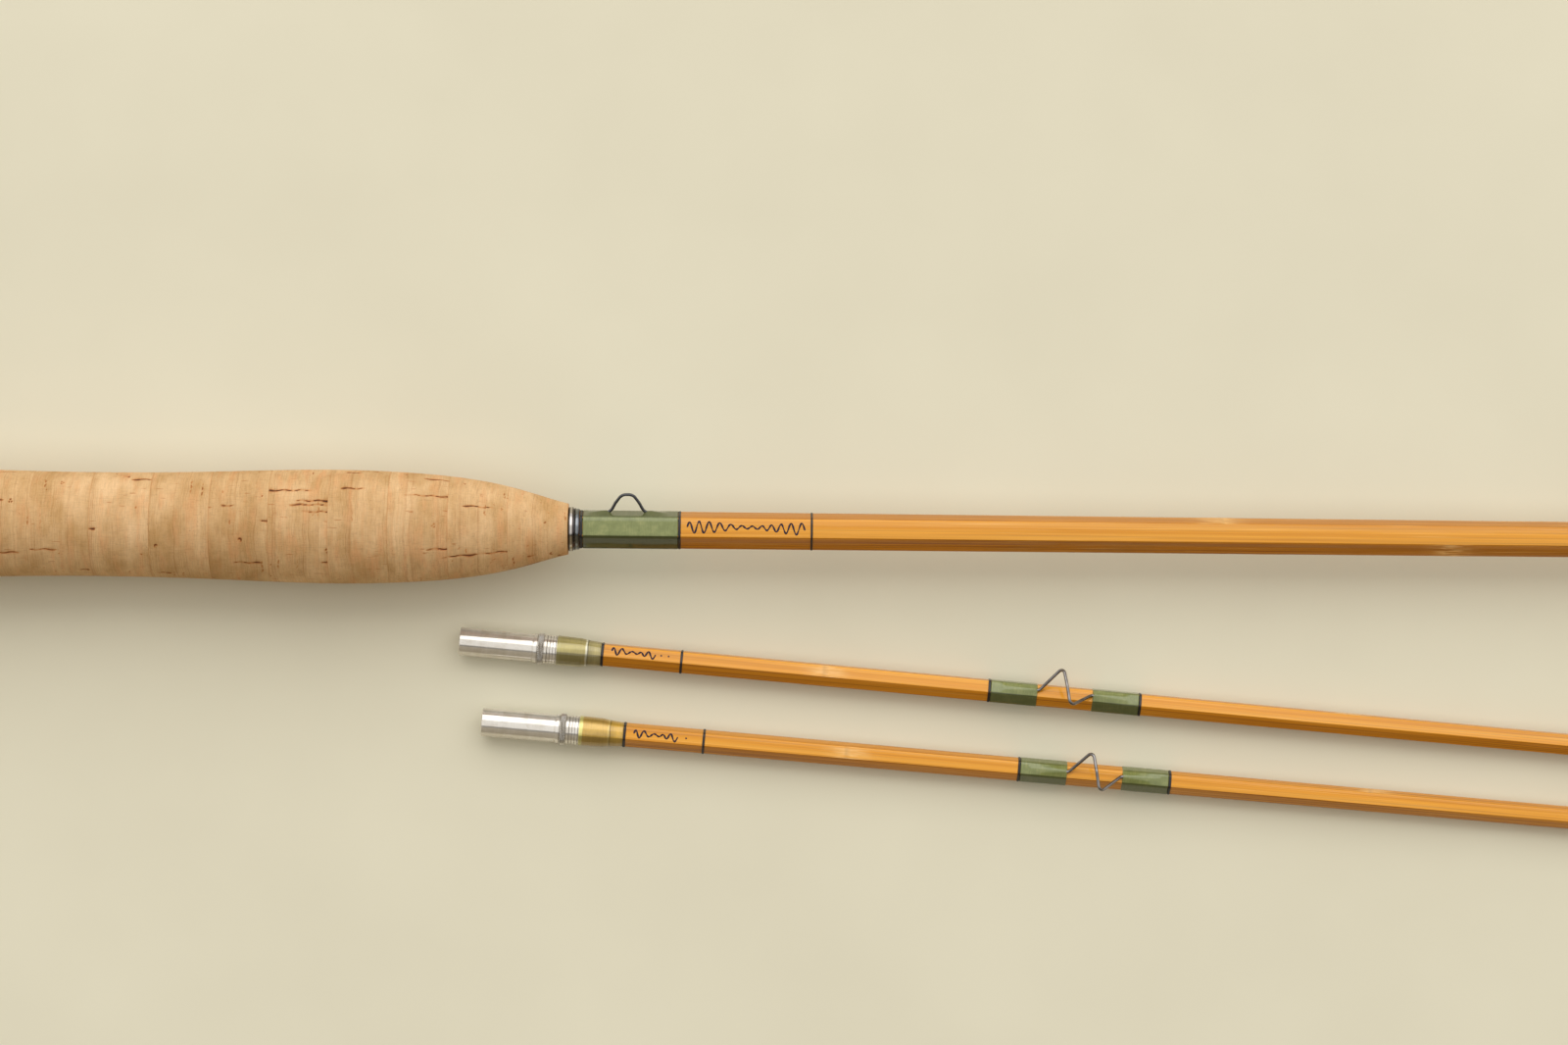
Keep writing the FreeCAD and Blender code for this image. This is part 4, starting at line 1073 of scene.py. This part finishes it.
def pen_stroke(section, name, path, side, material, width=0.44):
    """A flat pen line on one of the cane's flats, through (along, across) points."""
    around = 8
    turn = math.radians(60 * side)
    sine, cosine = math.sin(turn), math.cos(turn)
    rings = []
    for i, (x, u) in enumerate(path):
        from_end = min(math.dist((x, u), path[0]), math.dist((x, u), path[-1]))
        tip = max(0.05, math.sqrt(1 - max(0.0, 1 - 2 * from_end / width) ** 2))
        before = path[max(i - 1, 0)]
        after = path[min(i + 1, len(path) - 1)]
        way = math.atan2(after[1] - before[1], after[0] - before[0])
        press = width * tip * (0.8 + 0.2 * math.sin(0.55 * i))
        lift = section.flats(x) * 0.506
        for a in angles(around):
            off = 0.5 * press * math.cos(a)
            px = x - off * math.sin(way)
            pu = u + off * math.cos(way)
            pv = lift + 0.018 * math.sin(a)
            rings.append((px, pu * cosine + pv * sine, pv * cosine - pu * sine))
    return section.piece(name, np.array(rings), tube_faces(len(path), around, False), material)


def flourish(section, name, start, length, side, height, waves, material):
    """A plain running wave, uneven as a pen leaves it, as a generic mark in place of handwriting."""
    count = 30 * round(waves)
    path = []
    for i in range(count):
        share = i / (count - 1)
        phase = 2 * math.pi * waves * share + 0.7 * math.sin(9.0 * share)
        swell = 0.62 + 0.38 * math.sin(7.3 * share + 0.8)
        drift = 0.12 * height * math.sin(4.1 * share)
        path.append((start + length * share, height * swell * math.sin(phase) + drift))
    piece = pen_stroke(section, name, path, side, material)


def dots(section, name, places, side, material):
    """Round pen dots that tell the tips apart."""
    for number, x in enumerate(places, start=1):
        path = [(x - 0.21 * math.cos(turn), 0.0) for turn in np.linspace(0, math.pi, 9)]
        piece = pen_stroke(section, f"{name}_{number}", path, side, material, 0.42)


# -------------------- the rod


def build_butt(butt, materials):
    end = SECTION_LENGTH - FEMALE_BORE - WATER_PLUG
    cane(butt, materials["cane"], BUTT_CANE_START, end, (FEMALE_START, end, BUTT_TENON_RADIUS))
    radius_at = grip_profile(butt)
    for number in range(1, CORK_RINGS + 1):
        cork_ring(butt, materials["cork"], radius_at, number)
    winding_check(butt, materials["check"])
    butt_thread(butt, materials)
    flourish(butt, "butt_pen_wave", CORK_FRONT + 25.6, 25.3, 5, 1.25, 11.5, materials["ink"])
    for node in SEAT_METAL:
        dress(node, materials["seat_metal"])
    for node in ("stripping_guide_frame", "butt_snake_guide"):
        dress(node, materials["steel"])
    dress("seat_insert", materials["walnut"])
    dress("stripping_guide_ring", materials["agate"])
    dress("hook_keeper", materials["black_wire"])


def build_tip(tip, materials, dot_places):
    name = tip.prefix
    tenon = (TIP_TENON_START, FERRULE_END, TIP_TENON_RADIUS)
    cane(tip, materials["cane"], TIP_TENON_START, TIP_CANE_END, tenon)
    male_ferrule(tip, materials["nickel"])
    tip_thread(tip, materials)
    flourish(tip, name + "_pen_wave", 33.1, 9.6, 0, 0.85, 5.0, materials["ink"])
    dots(tip, name + "_pen_dot", dot_places, 0, materials["ink"])
    dress(name + "_ferrule_end_cap", materials["seat_metal"])
    dress(name + "_tip_top", materials["steel"])
    for number in range(1, len(tip.guides) + 1):
        dress(f"{name}_snake_guide_{number}", materials["steel"])


# -------------------- stage


def add_camera(cork_front):
    """A camera that looks straight down on the front of the grip and the cane ahead of it."""
    data = bpy.data.cameras.new("camera")
    data.sensor_width = 36
    data.lens = data.sensor_width * CAMERA_HEIGHT / VIEW_WIDTH
    camera = bpy.data.objects.new("camera", data)
    bpy.context.scene.collection.objects.link(camera)
    camera.location = cork_front + Vector((*CAMERA_SHIFT, CAMERA_HEIGHT))
    camera.rotation_euler = (0, 0, math.radians(CAMERA_ROLL))
    bpy.context.scene.camera = camera


def add_key_light(target):
    """A long soft light on the far side of the rod, turned to face the target."""
    data = bpy.data.lights.new("key", "AREA")
    data.shape = "RECTANGLE"
    data.size, data.size_y = KEY_SIZE
    data.energy = KEY_POWER
    light = bpy.data.objects.new("key", data)
    bpy.context.scene.collection.objects.link(light)
    lean = math.radians(KEY_LEAN)
    back = Vector((0, math.sin(lean), math.cos(lean)))
    right = Vector((0, 1, 0)).cross(back).normalized()
    turn = Matrix((right, back.cross(right), back)).transposed()
    light.matrix_world = Matrix.Translation(target + back * KEY_DISTANCE) @ turn.to_4x4()


def add_floor(material):
    bpy.ops.mesh.primitive_plane_add(size=8)
    floor = bpy.context.object
    floor.name = "floor"
    floor.data.materials.append(material)


def make_stage(butt, materials):
    """The camera, a pale floor, and soft light from the far side."""
    cork_front = butt.matrix @ Vector((CORK_FRONT, 0, 0))
    add_camera(cork_front)
    add_floor(materials["floor"])
    add_key_light(Vector((cork_front.x + 0.1, cork_front.y, 0)))
    bpy.context.scene.world = studio_world()
    bpy.context.scene.view_settings.view_transform = "Standard"


def studio_world():
    """A white canopy overhead and on the far side, then a dark gap and a dimmer room nearby."""
    world = bpy.data.worlds.new("studio")
    world.use_nodes = True
    nodes = world.node_tree.nodes
    links = world.node_tree.links
    direction = nodes.new("ShaderNodeSeparateXYZ")
    links.new(nodes.new("ShaderNodeTexCoord").outputs["Generated"], direction.inputs[0])
    lean = nodes.new("ShaderNodeMath")
    lean.operation = "ARCTAN2"
    links.new(direction.outputs["Y"], lean.inputs[0])
    links.new(direction.outputs["Z"], lean.inputs[1])
    place = nodes.new("ShaderNodeMapRange")
    place.inputs["From Min"].default_value = math.radians(-90)
    place.inputs["From Max"].default_value = 0.0
    links.new(lean.outputs[0], place.inputs["Value"])
    light = nodes.new("ShaderNodeValToRGB")
    edges = [
        (CANOPY_EDGE - 12, ROOM_LIGHT),
        (CANOPY_EDGE - 10, GAP_LIGHT),
        (CANOPY_EDGE - 1, GAP_LIGHT),
        (CANOPY_EDGE + 1, CANOPY_LIGHT),
    ]
    set_stops(light, [(1 + degrees / 90, colour) for degrees, colour in edges])
    links.new(place.outputs[0], light.inputs[0])
    links.new(light.outputs[0], nodes["Background"].inputs["Color"])
    return world


materials = make_materials()
sections = make_sections()
build_butt(sections["butt"], materials)
build_tip(sections["tip_a"], materials, (43.9, 45.5))
build_tip(sections["tip_b"], materials, (44.5,))
make_stage(sections["butt"], materials)
